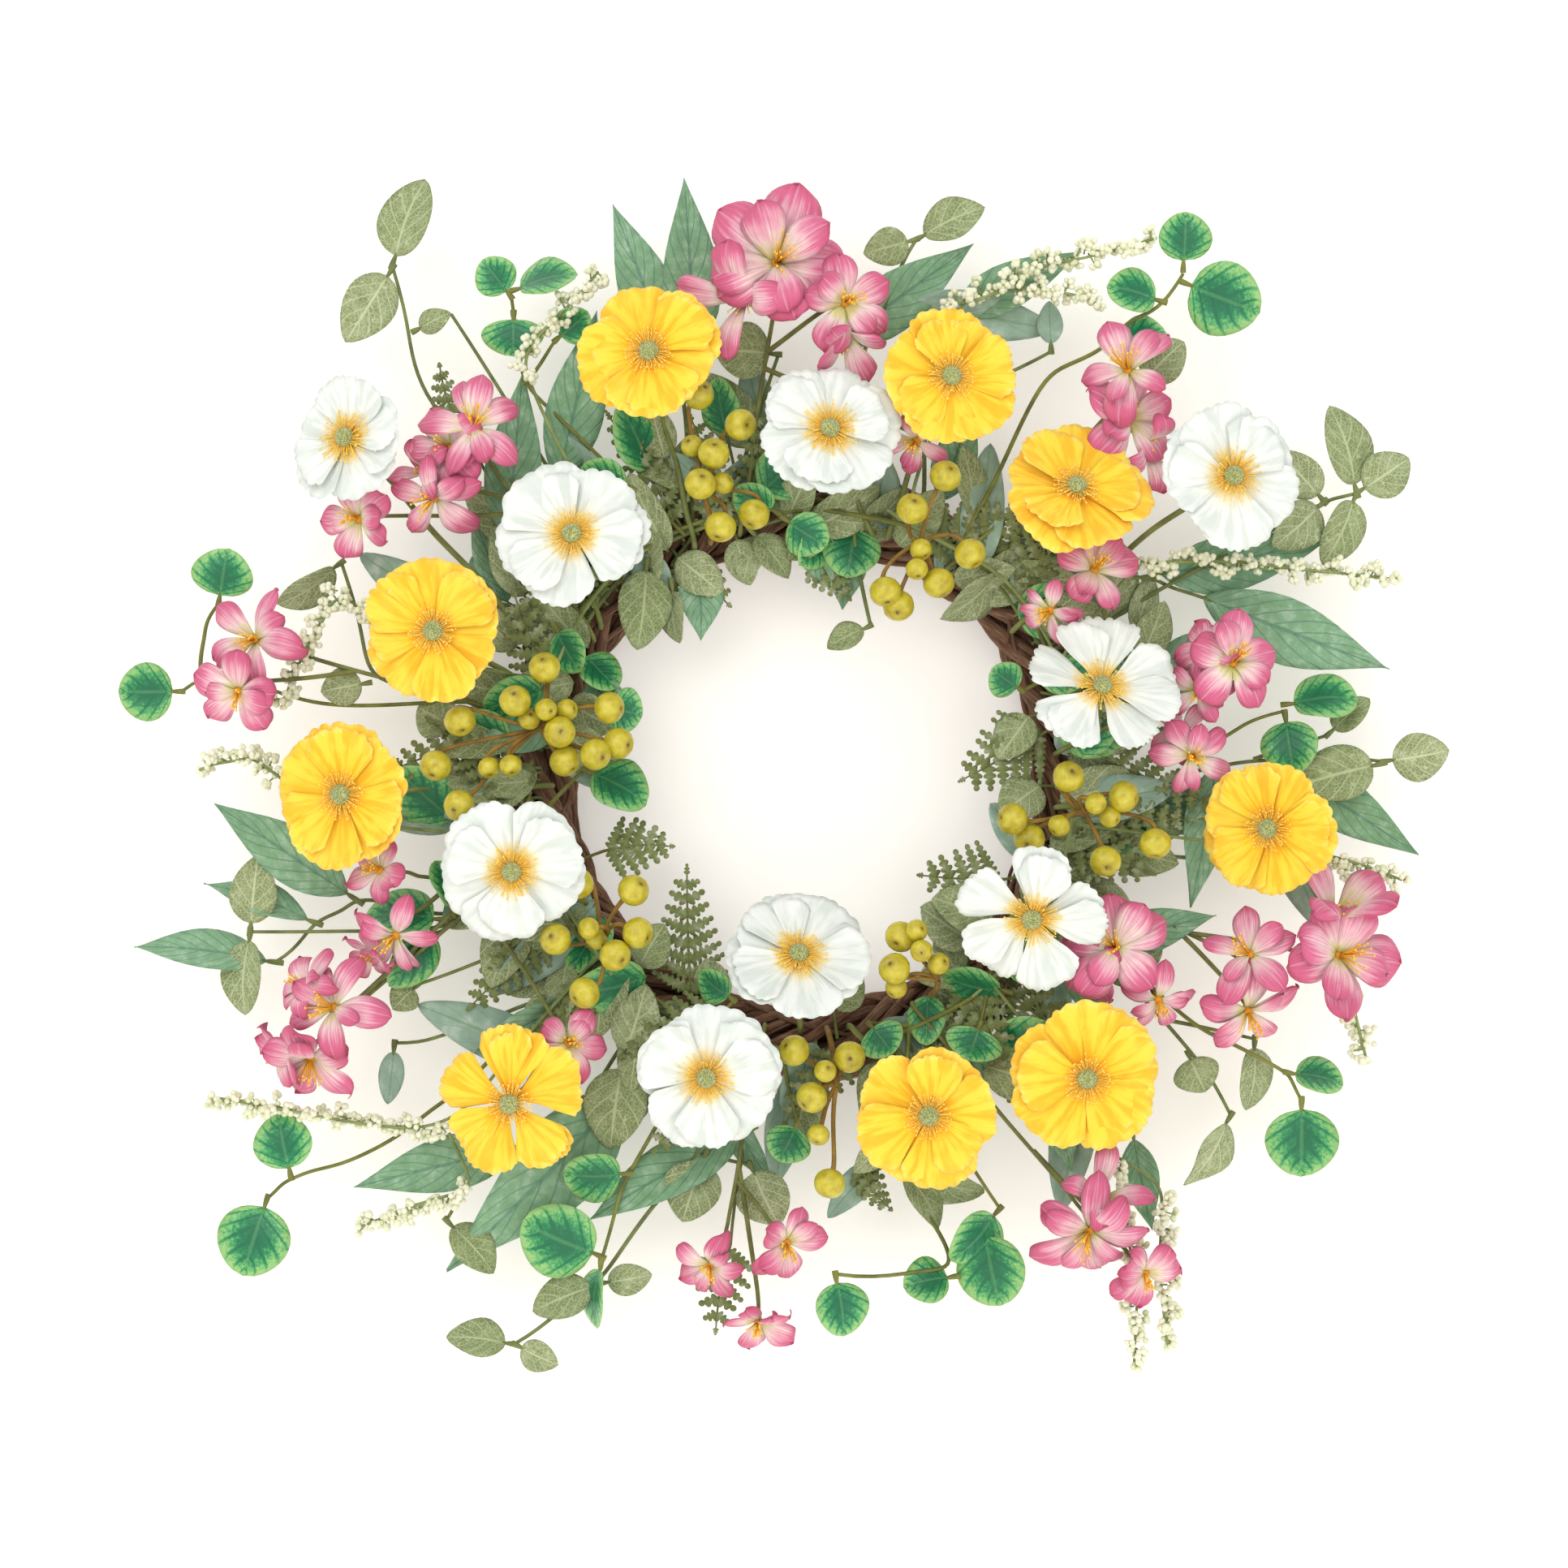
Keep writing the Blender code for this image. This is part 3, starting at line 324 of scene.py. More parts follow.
def layered(x, z, y):
    """A point of a layer, which falls back towards the wall away from the ring."""
    beyond = max(0.0, math.hypot(x, z) - FALL_START)
    return Vector((x, y + FALL_RATE * beyond, z))


def facing(clock, lean):
    """The way a flower looks: forward, leaning by some degrees towards a clock angle."""
    turn = math.radians(clock)
    tip = math.radians(lean)
    return Vector((math.sin(tip) * math.sin(turn), -math.cos(tip), math.sin(tip) * math.cos(turn)))


def axes_along(direction):
    """Three axes as a matrix whose third column runs along the direction."""
    along = direction.normalized()
    hint = SPARE_HINT if abs(along.dot(UPRIGHT)) > NEARLY_ALONG else UPRIGHT
    side = hint.cross(along).normalized()
    return Matrix((side, along.cross(side), along)).transposed()


def seat(centre, direction):
    """The place of a round piece whose own z looks along the direction."""
    return Matrix.Translation(centre) @ axes_along(direction).to_4x4()


def around(turn, radius, height):
    """A point of a flower's own frame, at an angle round its axis."""
    return Vector((math.cos(turn) * radius, math.sin(turn) * radius, height))


def smooth_step(low, high, value):
    """0 below low, 1 above high and smooth between."""
    share = min(1.0, max(0.0, (value - low) / (high - low)))
    return share * share * (3.0 - 2.0 * share)


def new_mesh():
    """An empty bmesh with the UV map and the tint that the finishes read."""
    bm = bmesh.new()
    bm.loops.layers.uv.new("UVMap")
    bm.verts.layers.float.new("tint")
    return bm


def gather(bm, part, tint, slot):
    """Adds a finished small mesh to a piece's mesh; a tint already painted on it stays."""
    layer = part.verts.layers.float["tint"]
    for vert in part.verts:
        vert[layer] = vert[layer] or tint
    for face in part.faces:
        face.material_index = slot
        face.smooth = True
    mesh = bpy.data.meshes.new("part")
    part.to_mesh(mesh)
    part.free()
    bm.from_mesh(mesh)
    bpy.data.meshes.remove(mesh)


def sheet(bm, columns, rows, shape, place, tint=0.5):
    """A grid laid out by shape(across, along), across from -1 to 1 and along from 0 to 1."""
    part = new_mesh()
    bmesh.ops.create_grid(part, x_segments=columns, y_segments=rows, size=1.0, calc_uvs=True)
    for vert in part.verts:
        vert.co = place @ shape(vert.co.x, (vert.co.y + 1.0) / 2.0)
    bmesh.ops.remove_doubles(part, verts=part.verts, dist=SHEET_WELD)
    gather(bm, part, tint, 0)


def ball(bm, radius, place, columns=8, rows=6, tint=0.5, slot=0, reshape=None):
    """A round bead or berry; reshape(vert, tint layer) may press it into another form."""
    part = new_mesh()
    bmesh.ops.create_uvsphere(
        part, u_segments=columns, v_segments=rows, radius=radius, matrix=place, calc_uvs=True
    )
    if reshape:
        layer = part.verts.layers.float["tint"]
        for vert in part.verts:
            reshape(vert, layer)
    gather(bm, part, tint, slot)


def taper(bm, start, end, radius, end_radius, sides=4, tint=0.5, slot=0):
    """A thin capped cone between two points, for hairs, stalks and threads."""
    run = end - start
    part = new_mesh()
    bmesh.ops.create_cone(
        part,
        cap_ends=True,
        segments=sides,
        radius1=radius,
        radius2=end_radius,
        depth=run.length,
        matrix=seat((start + end) / 2.0, run),
        calc_uvs=True,
    )
    gather(bm, part, tint, slot)


def to_frame(mesh):
    """Millimetres round the ring's middle become metres from the hook rest."""
    mesh.transform(Matrix.Scale(MM, 4) @ Matrix.Translation((0.0, 0.0, -HOOK_REST_Z)))


def put_in_scene(name, mesh, finishes, slot, replaces=()):
    """Makes a finished mesh a piece, which rides on the wreath's one body."""
    to_frame(mesh)
    for finish in finishes:
        mesh.materials.append(finish)
    obj = bpy.data.objects.new(name, mesh)
    bpy.context.scene.collection.objects.link(obj)
    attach(obj, "root")
    if replaces:
        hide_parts(*replaces)
    return obj


def solid_piece(name, bm, finishes, slot, replaces=()):
    """Turns a bmesh of closed shapes into a piece."""
    bmesh.ops.recalc_face_normals(bm, faces=bm.faces)
    mesh = bpy.data.meshes.new(name)
    bm.to_mesh(mesh)
    bm.free()
    put_in_scene(name, mesh, finishes, slot, replaces)


def cloth_piece(name, bm, finish, slot, thickness, replaces=()):
    """Turns a bmesh of sheets into a piece, which a Solidify modifier gives its thickness."""
    mesh = bpy.data.meshes.new(name)
    bm.to_mesh(mesh)
    bm.free()
    obj = put_in_scene(name, mesh, [finish], slot, replaces)
    wall = obj.modifiers.new("cloth_thickness", "SOLIDIFY")
    wall.thickness = thickness * MM
    wall.offset = 0.0


def stems_piece(name, runs, finish, slot, sides=1):
    """Wired stems: one curve with a smooth spline per run of (point, radius), made a mesh."""
    curve = bpy.data.curves.new(name, "CURVE")
    curve.dimensions = "3D"
    curve.fill_mode = "FULL"
    curve.bevel_depth = 1.0
    curve.bevel_resolution = sides
    curve.use_fill_caps = True
    for run in runs:
        spline = curve.splines.new("NURBS")
        spline.points.add(len(run) - 1)
        for point, (spot, radius) in zip(spline.points, run):
            point.co = (*spot, 1.0)
            point.radius = radius
        spline.order_u = min(4, len(run))
        spline.use_endpoint_u = True
        spline.resolution_u = 4
        spline.use_smooth = True
    holder = bpy.data.objects.new(name + "_line", curve)
    bpy.context.scene.collection.objects.link(holder)
    graph = bpy.context.evaluated_depsgraph_get()
    mesh = bpy.data.meshes.new_from_object(holder.evaluated_get(graph))
    bpy.data.objects.remove(holder)
    bpy.data.curves.remove(curve)
    mesh.name = name
    put_in_scene(name, mesh, [finish], slot)


def wander(points, amount, rng):
    """Bends a run a little between its ends, as a wired stem is never quite straight."""
    bent = [points[0]]
    for first, second in zip(points, points[1:]):
        reach = (second - first).length
        if reach > STRAIGHT_RUN:
            for share in BEND_SHARES:
                push = Vector([rng.uniform(-1.0, 1.0) for _ in range(3)])
                push *= min(amount, reach * BEND_LIMIT)
                bent.append(first.lerp(second, share) + push)
        bent.append(second)
    return bent


def stem_path(centre, axis, dive_clock, lane):
    """From behind the head, back to its lane, along that to the ring and down on to it."""
    neck = centre - axis * NECK_REACH
    neck.y = min(neck.y + NECK_FORWARD, lane)
    foot = on_ring(dive_clock, DIVE_RADIUS, lane)
    path = [centre - axis * STEM_START, centre - axis * STEM_STRAIGHT, neck]
    if (foot - neck).length > SHORT_STEM:
        level = Vector((neck.x, lane, neck.z))
        path += [level.lerp(foot, share) for share in LEVEL_SHARES]
    return [*path, foot, on_ring(dive_clock, DIVE_RADIUS + 3.0, DIVE_END_Y)]


def tapered(points, radius, end_radius):
    """Points with a radius each, which runs evenly from the first to the last."""
    last = max(1, len(points) - 1)
    return [(spot, radius + (end_radius - radius) * i / last) for i, spot in enumerate(points)]


# ---------------------------------------------------------------- finishes


def paint(red, green, blue):
    """A colour as paint charts give it, 0 to 255, made linear for the shader."""
    made = []
    for value in (red, green, blue):
        share = value / 255.0
        made.append(share / 12.92 if share < 0.04045 else ((share + 0.055) / 1.055) ** 2.4)
    return (*made, 1.0)


def darker(colour, share):
    """The colour with only a share of its light left."""
    return (*[value * share for value in colour[:3]], 1.0)


def lighter(colour, share):
    """The colour moved a share of the way to white."""
    return (*[value + (1.0 - value) * share for value in colour[:3]], 1.0)


class Finish:
    """One material, and short calls that add nodes to it."""

    def __init__(self, name, roughness, sheen=0.0, coat=0.0, specular=0.35):
        self.material = bpy.data.materials.new(name)
        self.material.use_nodes = True
        self.tree = self.material.node_tree
        self.shader = self.tree.nodes["Principled BSDF"]
        self.set_socket("Roughness", roughness)
        self.set_socket("Specular IOR Level", specular)
        self.set_socket("Sheen Weight", sheen)
        self.set_socket("Coat Weight", coat)

    def set_socket(self, name, value):
        if isinstance(value, bpy.types.NodeSocket):
            self.tree.links.new(value, self.shader.inputs[name])
        else:
            self.shader.inputs[name].default_value = value

    def add(self, kind, sockets, **settings):
        node = self.tree.nodes.new(kind)
        for key, value in settings.items():
            setattr(node, key, value)
        for key, value in sockets.items():
            if isinstance(value, bpy.types.NodeSocket):
                self.tree.links.new(value, node.inputs[key])
            else:
                node.inputs[key].default_value = value
        return node

    def maths(self, operation, *values):
        return self.add("ShaderNodeMath", dict(enumerate(values)), operation=operation).outputs[0]

    def times(self, first, second):
        return self.maths("MULTIPLY", first, second)

    def plus(self, first, second):
        return self.maths("ADD", first, second)

    def less(self, first, second):
        return self.maths("SUBTRACT", first, second)

    def blend(self, first, share, second, other_share):
        """Two patterns added together, each by its own share."""
        return self.plus(self.times(first, share), self.times(second, other_share))

    def shift(self, pattern, amount):
        """A pattern of 0 to 1 as a shift to both sides of zero."""
        return self.times(self.less(pattern, 0.5), amount)

    def side(self, across):
        """0 on the middle line of a blade or petal and 1 on both of its edges."""
        return self.times(self.maths("ABSOLUTE", self.less(across, 0.5)), 2.0)

    def band(self, value, low, high):
        """0 below low, 1 above high and smooth between."""
        sockets = {"Value": value, "From Min": low, "From Max": high}
        return self.add("ShaderNodeMapRange", sockets, interpolation_type="SMOOTHSTEP").outputs[0]

    def mix(self, share, first, second, blend="MIX"):
        sockets = {0: share, 6: first, 7: second}
        node = self.add("ShaderNodeMix", sockets, data_type="RGBA", blend_type=blend)
        return node.outputs[2]

    def dyed(self, share, colour, dye, depth=1.0):
        """Each blade or petal takes up the dye by its own tint."""
        return self.mix(self.times(self.tint(), share), colour, self.mix(depth, colour, dye, "MULTIPLY"))

    def place(self):
        return self.add("ShaderNodeTexCoord", {}).outputs["Object"]

    def uv(self):
        """The across and along values of a leaf, petal or cane."""
        whole = self.add("ShaderNodeUVMap", {}, uv_map="UVMap").outputs[0]
        parts = self.add("ShaderNodeSeparateXYZ", {0: whole})
        return parts.outputs[0], parts.outputs[1]

    def tint(self):
        return self.add("ShaderNodeAttribute", {}, attribute_name="tint").outputs["Fac"]

    def vector(self, x, y, z):
        return self.add("ShaderNodeCombineXYZ", {0: x, 1: y, 2: z}).outputs[0]

    def noise(self, vector, scale, detail=3.0, rough=0.55):
        sockets = {"Vector": vector, "Scale": scale, "Detail": detail, "Roughness": rough}
        return self.add("ShaderNodeTexNoise", sockets).outputs[0]

    def swirled(self, vector, scale, amount):
        """A vector pushed about a little by coloured noise."""
        swirl = self.add("ShaderNodeTexNoise", {"Vector": vector, "Scale": scale}).outputs["Color"]
        push = {0: swirl, 1: (amount, amount, amount)}
        warp = self.add("ShaderNodeVectorMath", push, operation="MULTIPLY").outputs[0]
        return self.add("ShaderNodeVectorMath", {0: vector, 1: warp}, operation="ADD").outputs[0]

    def cells(self, vector, scale, feature):
        node = self.add("ShaderNodeTexVoronoi", {"Vector": vector, "Scale": scale}, feature=feature)
        return node.outputs["Distance"]

    def ramp(self, value, *stops):
        node = self.add("ShaderNodeValToRGB", {0: value})
        points = node.color_ramp.elements
        while len(points) < len(stops):
            points.new(0.5)
        for point, (where, colour) in zip(points, stops):
            point.position = where
            point.color = colour
        return node.outputs[0]

    def bump(self, height, distance, strength):
        sockets = {"Height": height, "Distance": distance, "Strength": strength}
        self.set_socket("Normal", self.add("ShaderNodeBump", sockets).outputs[0])

    def done(self, colour):
        """The material, with its base colour joined up."""
        self.set_socket("Base Color", colour)
        return self.material


def bark_finish(colour):
    """Dry grapevine: long fibres, paler scuffs and dark cracks."""
    made = Finish("grapevine_bark", 0.82)
    across, along = made.uv()
    shade = made.tint()
    fibres = made.vector(made.times(across, 70.0), made.times(along, 9.0), shade)
    grain = made.noise(fibres, 1.6, 5.0)
    scuff = made.noise(made.place(), 140.0, 4.0)
    dry = made.ramp(
        made.plus(grain, made.times(scuff, 0.25)),
        (0.36, paint(62, 42, 34)),
        (0.55, colour),
        (0.70, paint(140, 106, 84)),
        (0.88, paint(168, 132, 104)),
    )
    faded = made.mix(0.35, dry, paint(150, 116, 92))
    made.bump(made.plus(grain, made.times(scuff, 0.4)), 0.0016, 0.9)
    return made.done(made.mix(made.band(shade, 0.0, 1.0), dry, faded))


def stem_finish(name, colour, dark):
    """Wrapped wire stem: a mottled plastic skin with a fine grain."""
    made = Finish(name, 0.55)
    where = made.place()
    fine = made.noise(where, 1400.0, 2.0)
    skin = made.blend(made.noise(where, 90.0), 0.8, fine, 0.2)
    made.bump(fine, 0.0003, 0.5)
    return made.done(made.ramp(skin, (0.36, dark), (0.62, colour)))


def poppy_petal_finish(name, stops, crease, light):
    """Crinkled polyester petal: radial pleats with painted shade in their valleys, a stained throat and a
    lighter rim.
    """
    made = Finish(name, 0.72, sheen=0.12, specular=0.25)
    across, along = made.uv()
    where = made.place()
    fan = made.vector(made.times(across, 9.0), made.times(along, 1.6), made.times(made.tint(), 9.0))
    pleat = made.noise(fan, 1.0, 3.0, 0.5)
    fine = made.noise(fan, 4.2, 2.0)
    colour = made.ramp(made.plus(along, made.shift(fine, 0.30)), *stops)
    # Painted shade: the crease colour darkens the petal where the pleat pattern is low, in the valleys of
    # the bump.
    crease_shade_and_highlight = made.mix(0.8, colour, crease, "MULTIPLY")
    folded = made.mix(made.band(pleat, 0.60, 0.36), colour, crease_shade_and_highlight)
    wash = made.times(made.band(made.noise(where, 55.0, 2.0), 0.45, 0.75), 0.35)
    weave = made.noise(where, 2600.0, 1.0)
    made.bump(made.plus(pleat, made.blend(fine, 0.30, weave, 0.06)), 0.0009, 0.42)
    return made.done(made.mix(wash, folded, light))


def blossom_petal_finish(colour, deep):
    """Printed blossom petal: pale throat, pink streaks, a painted highlight down the midline crease and a
    dark margin towards the tip.
    """
    made = Finish("pink_blossom_petal", 0.6, sheen=0.15, specular=0.3)
    across, along = made.uv()
    side = made.side(across)
    fan = made.vector(made.times(across, 26.0), made.times(along, 1.5), made.times(made.tint(), 7.0))
    streak = made.noise(fan, 1.0)
    patch = made.noise(made.place(), 70.0, 2.0)
    body = made.ramp(
        made.plus(made.plus(along, made.shift(streak, 0.75)), made.shift(patch, 0.55)),
        (0.06, paint(212, 212, 130)),
        (0.17, paint(238, 226, 218)),
        (0.34, paint(228, 176, 190)),
        (0.56, colour),
        (0.95, deep),
    )
    crease = made.band(side, 0.10, 0.0)
    # Painted highlight: a paler pink along the midline crease of each petal.
    crease_shade_and_highlight = made.mix(made.times(crease, 0.4), body, paint(234, 182, 198))
    margin = made.times(made.band(side, 0.72, 1.0), made.band(along, 0.25, 0.6))
    edged = made.mix(made.times(margin, 0.5), crease_shade_and_highlight, deep)
    made.bump(made.plus(streak, made.times(crease, -0.6)), 0.0007, 0.55)
    return made.done(made.dyed(0.35, edged, paint(208, 132, 152), 0.6))


def flock_finish():
    """The poppy's granular dome."""
    made = Finish("poppy_dome_flock", 0.85, sheen=0.3)
    where = made.place()
    grit = made.cells(where, 1500.0, "F1")
    made.bump(grit, -0.0006, 0.9)
    grains = made.ramp(
        made.plus(grit, made.times(made.noise(where, 420.0, 2.0), 0.35)),
        (0.25, paint(96, 104, 50)),
        (0.55, paint(138, 148, 86)),
        (0.85, paint(184, 188, 124)),
    )
    return made.done(grains)


def thread_finish(name, base, tip):
    """Stamen threads, darker where they leave the dome and dusted at the tip."""
    made = Finish(name, 0.6)
    grain = made.noise(made.place(), 900.0, 2.0)
    made.bump(grain, 0.0002, 0.4)
    dust = made.plus(made.tint(), made.times(grain, 0.2))
    return made.done(made.ramp(dust, (0.1, base), (0.9, tip)))


def berry_finish(colour):
    """Satin lacquer over foam: faint mottling, a browner shoulder and a dark star at the eye."""
    made = Finish("berry_lacquer", 0.38, coat=0.25, specular=0.5)
    where = made.place()
    eye = made.tint()
    mottle = made.noise(where, 260.0, 4.0)
    speck = made.noise(where, 1800.0, 2.0)
    skin = made.ramp(
        mottle, (0.3, paint(168, 150, 28)), (0.5, colour), (0.72, paint(206, 194, 66))
    )
    shoulder = made.times(made.band(eye, 0.75, 0.99), 0.4)
    ripe = made.mix(shoulder, skin, paint(150, 132, 36))
    star = made.band(made.plus(eye, made.times(mottle, 0.06)), 1.004, 1.04)
    gloss = made.add("ShaderNodeMapRange", {"Value": mottle, "To Min": 0.3, "To Max": 0.5})
    made.set_socket("Roughness", gloss.outputs[0])
    made.bump(made.plus(mottle, made.times(speck, 0.2)), 0.0005, 0.35)
    return made.done(made.mix(star, ripe, paint(116, 90, 36)))


def bead_finish():
    """Cream paint on the seeds, greener in patches."""
    made = Finish("seed_bead_paint", 0.5, coat=0.1)
    where = made.place()
    speck = made.noise(where, 900.0)
    made.bump(speck, 0.0003, 0.4)
    cream = made.ramp(
        made.blend(made.noise(where, 120.0, 2.0), 0.6, speck, 0.4),
        (0.30, paint(198, 206, 160)),
        (0.46, paint(226, 228, 198)),
        (0.64, paint(240, 240, 220)),
    )
    return made.done(cream)


def veins_of(made, across, along, count, lean, width):
    """Distance from the midrib, then the side veins and the midrib, both 1 on the line."""
    side = made.side(across)
    wave = made.less(made.times(along, count), made.times(side, lean))
    ribs = made.band(made.maths("PINGPONG", wave, 0.5), width, 0.0)
    return side, ribs, made.band(side, 0.085, 0.02)


def sage_leaf_finish(colour, vein):
    """Long printed leaf: dusty green, feathery darker side veins and a pale midrib."""
    made = Finish("sage_leaf_cloth", 0.7, sheen=0.1)
    across, along = made.uv()
    where = made.place()
    wavy = made.plus(across, made.shift(made.noise(where, 160.0), 0.03))
    _, ribs, middle = veins_of(made, wavy, along, 10.0, 2.4, 0.11)
    mottle = made.noise(where, 210.0, 4.0)
    fine = made.noise(where, 1500.0, 2.0)
    base = made.ramp(
        made.blend(mottle, 0.75, fine, 0.25),
        (0.32, darker(colour, 0.78)),
        (0.52, colour),
        (0.7, lighter(colour, 0.22)),
    )
    ribbed = made.mix(made.times(ribs, made.plus(made.times(mottle, 0.6), 0.25)), base, vein)
    centred = made.mix(made.times(middle, 0.6), ribbed, vein)
    grooves = made.blend(middle, -1.0, fine, 0.2)
    made.bump(made.plus(made.times(ribs, -0.6), grooves), 0.0006, 0.6)
    return made.done(made.dyed(0.4, centred, paint(196, 214, 190)))


def net_leaf_finish(colour, vein):
    """Olive leaf with a raised pale net of veins."""
    made = Finish("net_veined_leaf_cloth", 0.68, sheen=0.08)
    across, along = made.uv()
    where = made.place()
    _, ribs, middle = veins_of(made, across, along, 6.0, 1.8, 0.10)
    net = made.cells(made.swirled(where, 260.0, 0.0016), 560.0, "DISTANCE_TO_EDGE")
    base = made.ramp(
        made.noise(where, 150.0),
        (0.34, darker(colour, 0.74)),
        (0.52, darker(colour, 0.92)),
        (0.7, lighter(colour, 0.10)),
    )
    stout = made.maths("MAXIMUM", made.times(ribs, 0.85), made.times(middle, 0.8))
    lines = made.maths("MAXIMUM", made.times(made.band(net, 0.10, 0.02), 0.70), stout)
    netted = made.mix(made.times(lines, 0.85), base, vein)
    made.bump(lines, 0.0005, 0.6)
    return made.done(made.dyed(0.45, netted, paint(190, 205, 165)))


def dappled_leaf_finish(rim, heart):
    """Round glossy leaf: lime rim with a dark heart that feathers out along the veins."""
    made = Finish("dappled_leaf_cloth", 0.42, coat=0.1, specular=0.45)
    across, along = made.uv()
    where = made.place()
    side, ribs, middle = veins_of(made, across, along, 6.0, 1.9, 0.22)
    grain = made.noise(where, 620.0, 5.0, 0.75)
    speck = made.noise(where, 1100.0, 2.0)
    length = made.times(made.maths("ABSOLUTE", made.less(along, 0.45)), 1.75)
    squares = made.plus(made.maths("POWER", side, 2.0), made.maths("POWER", length, 2.0))
    out = made.plus(made.maths("POWER", squares, 0.5), made.shift(grain, 1.5))
    out = made.less(out, made.times(made.times(ribs, grain), 0.62))
    colour = made.ramp(
        out, (0.20, heart), (0.46, paint(24, 128, 80)), (0.68, paint(84, 168, 100)), (0.92, rim)
    )
    veined = made.mix(made.times(middle, 0.30), colour, paint(104, 172, 112))
    grooves = made.blend(middle, -1.0, speck, 0.2)
    made.bump(made.plus(made.times(ribs, -0.5), grooves), 0.0005, 0.5)
    return made.done(made.dyed(0.35, veined, paint(196, 214, 180)))


def eucalyptus_leaf_finish(colour):
    """Silvery leaf with soft veins."""
    made = Finish("eucalyptus_leaf_cloth", 0.62, sheen=0.15)
    across, along = made.uv()
    _, ribs, middle = veins_of(made, across, along, 5.0, 1.4, 0.08)
    mottle = made.noise(made.place(), 130.0)
    base = made.ramp(
        mottle, (0.32, darker(colour, 0.82)), (0.55, colour), (0.75, lighter(colour, 0.25))
    )
    lines = made.maths("MAXIMUM", made.times(ribs, 0.5), middle)
    made.bump(made.plus(lines, made.times(mottle, 0.3)), 0.0004, 0.5)
    return made.done(made.mix(made.times(lines, 0.6), base, paint(112, 152, 112)))


def fern_finish(colour):
    """Moulded fern: mottled green with a paler rib down each leaflet."""
    made = Finish("fern_plastic", 0.6)
    across, _ = made.uv()
    middle = made.band(made.side(across), 0.085, 0.02)
    mottle = made.noise(made.place(), 220.0)
    base = made.ramp(
        mottle, (0.3, darker(colour, 0.7)), (0.52, colour), (0.74, lighter(colour, 0.22))
    )
    made.bump(made.plus(middle, made.times(mottle, 0.4)), 0.0005, 0.5)
    return made.done(made.mix(made.times(middle, 0.5), base, paint(146, 152, 92)))


# ---------------------------------------------------------------- settings


def length_setting(name, description, default, least):
    """A length that the user may change, in metres."""
    return FloatProperty(name=name, description=description, default=default, min=least, unit="LENGTH")


def count_setting(name, description, default, least, most):
    """A whole number that the user may change."""
    return IntProperty(name=name, description=description, default=default, min=least, max=most)


def colour_setting(name, description, *chart):
    """A colour that the user may change, given as a paint chart does."""
    return FloatVectorProperty(
        name=name,
        description=description,
        default=paint(*chart),
        subtype="COLOR",
        size=4,
        min=0.0,
        max=1.0,
    )


class WreathRingSettings(bpy.types.PropertyGroup):
    """The twisted grapevine ring."""

    cane_radius: length_setting("Cane radius", "Radius of one vine cane", 0.0029, 0.001)
    canes: count_setting("Canes per strand", "Canes twisted into each strand", 3, 2, 5)
    bark: colour_setting("Bark", "Colour of the dry bark", 112, 76, 58)


class WreathPoppySettings(bpy.types.PropertyGroup):
    """The eighteen poppies."""

    outer_petals: count_setting("Outer petals", "Petals in the back layer", 5, 3, 8)
    inner_petals: count_setting("Inner petals", "Petals in the front layer", 3, 2, 8)
    stamens: count_setting("Stamens", "Threads round the dome", 84, 12, 120)
    dome_radius: length_setting("Dome radius", "Radius of the granular dome", 0.0046, 0.002)
    cloth: length_setting("Petal cloth", "Thickness of the petal cloth", 0.00035, 0.0001)
    yellow: colour_setting("Yellow", "Colour of the yellow petals", 243, 207, 56)
    white: colour_setting("White", "Colour of the white petals", 228, 232, 228)


class WreathBlossomSettings(bpy.types.PropertyGroup):
    """The pink blossom sprigs."""

    petals: count_setting("Petals", "Petals of a small blossom", 5, 4, 8)
    stamens: count_setting("Stamens", "Threads in each throat", 15, 5, 30)
    pink: colour_setting("Pink", "Colour of the middle of a petal", 209, 106, 142)
    deep: colour_setting("Deep pink", "Colour of the petal tips", 188, 74, 110)


class WreathBerrySettings(bpy.types.PropertyGroup):
    """The berry sprigs."""

    radius: length_setting("Full berry", "Radius of a full berry", 0.0072, 0.003)
    small_radius: length_setting("Small berry", "Radius of a small berry", 0.0051, 0.002)
    colour: colour_setting("Lacquer", "Colour of the berries", 190, 176, 38)


class WreathFoliageSettings(bpy.types.PropertyGroup):
    """Leaves, ferns and seed sprays."""

    cloth: length_setting("Leaf cloth", "Thickness of a leaf", 0.0004, 0.0001)
    bead_radius: length_setting("Seed radius", "Radius of one seed", 0.00148, 0.0008)
    sage: colour_setting("Sage", "Colour of the long leaves", 130, 170, 134)
    net: colour_setting("Olive", "Colour of the net veined leaves", 146, 160, 110)
    rim: colour_setting("Lime rim", "Rim of the dappled leaves", 150, 196, 122)
    heart: colour_setting("Dark heart", "Heart of the dappled leaves", 8, 106, 70)
    eucalyptus: colour_setting("Eucalyptus", "Colour of the silvery leaves", 146, 174, 156)
    fern: colour_setting("Fern", "Colour of the ferns", 116, 128, 74)


class WreathStageSettings(bpy.types.PropertyGroup):
    """Camera, wall, floor and lights."""

    lens: FloatProperty(name="Lens", description="Focal length in millimetres", default=100.0, min=35.0)
    view_width: length_setting("View width", "Width that the camera takes in at the flowers", 0.7083, 0.3)
    wall_gap: length_setting("Wall gap", "Gap between the back of the ring and the wall", 0.003, 0.0)


# ---------------------------------------------------------------- vine ring

CANE_STEPS = 210
CANE_SIDES = 8
CANE_TWISTS = 8.0
CANE_ORBIT = 2.9
CANE_GIRTHS = (1.0, 0.86, 1.1)
CORE_CANES = 6
CORE_TWISTS = 3.0
CORE_ORBIT = 4.4
CORE_RADIUS = 2.4
WRAP_REACH = 16.0
WRAP_DEPTH = 14.5
KNOBS = 34.0

# Loose wraps: how many times each goes over the strands and under, and its radius
WRAPS = ((2, 1.7), (-3, 1.3), (4, 1.5), (-2, 2.0), (6, 1.0), (-7, 0.9), (3, 1.4))


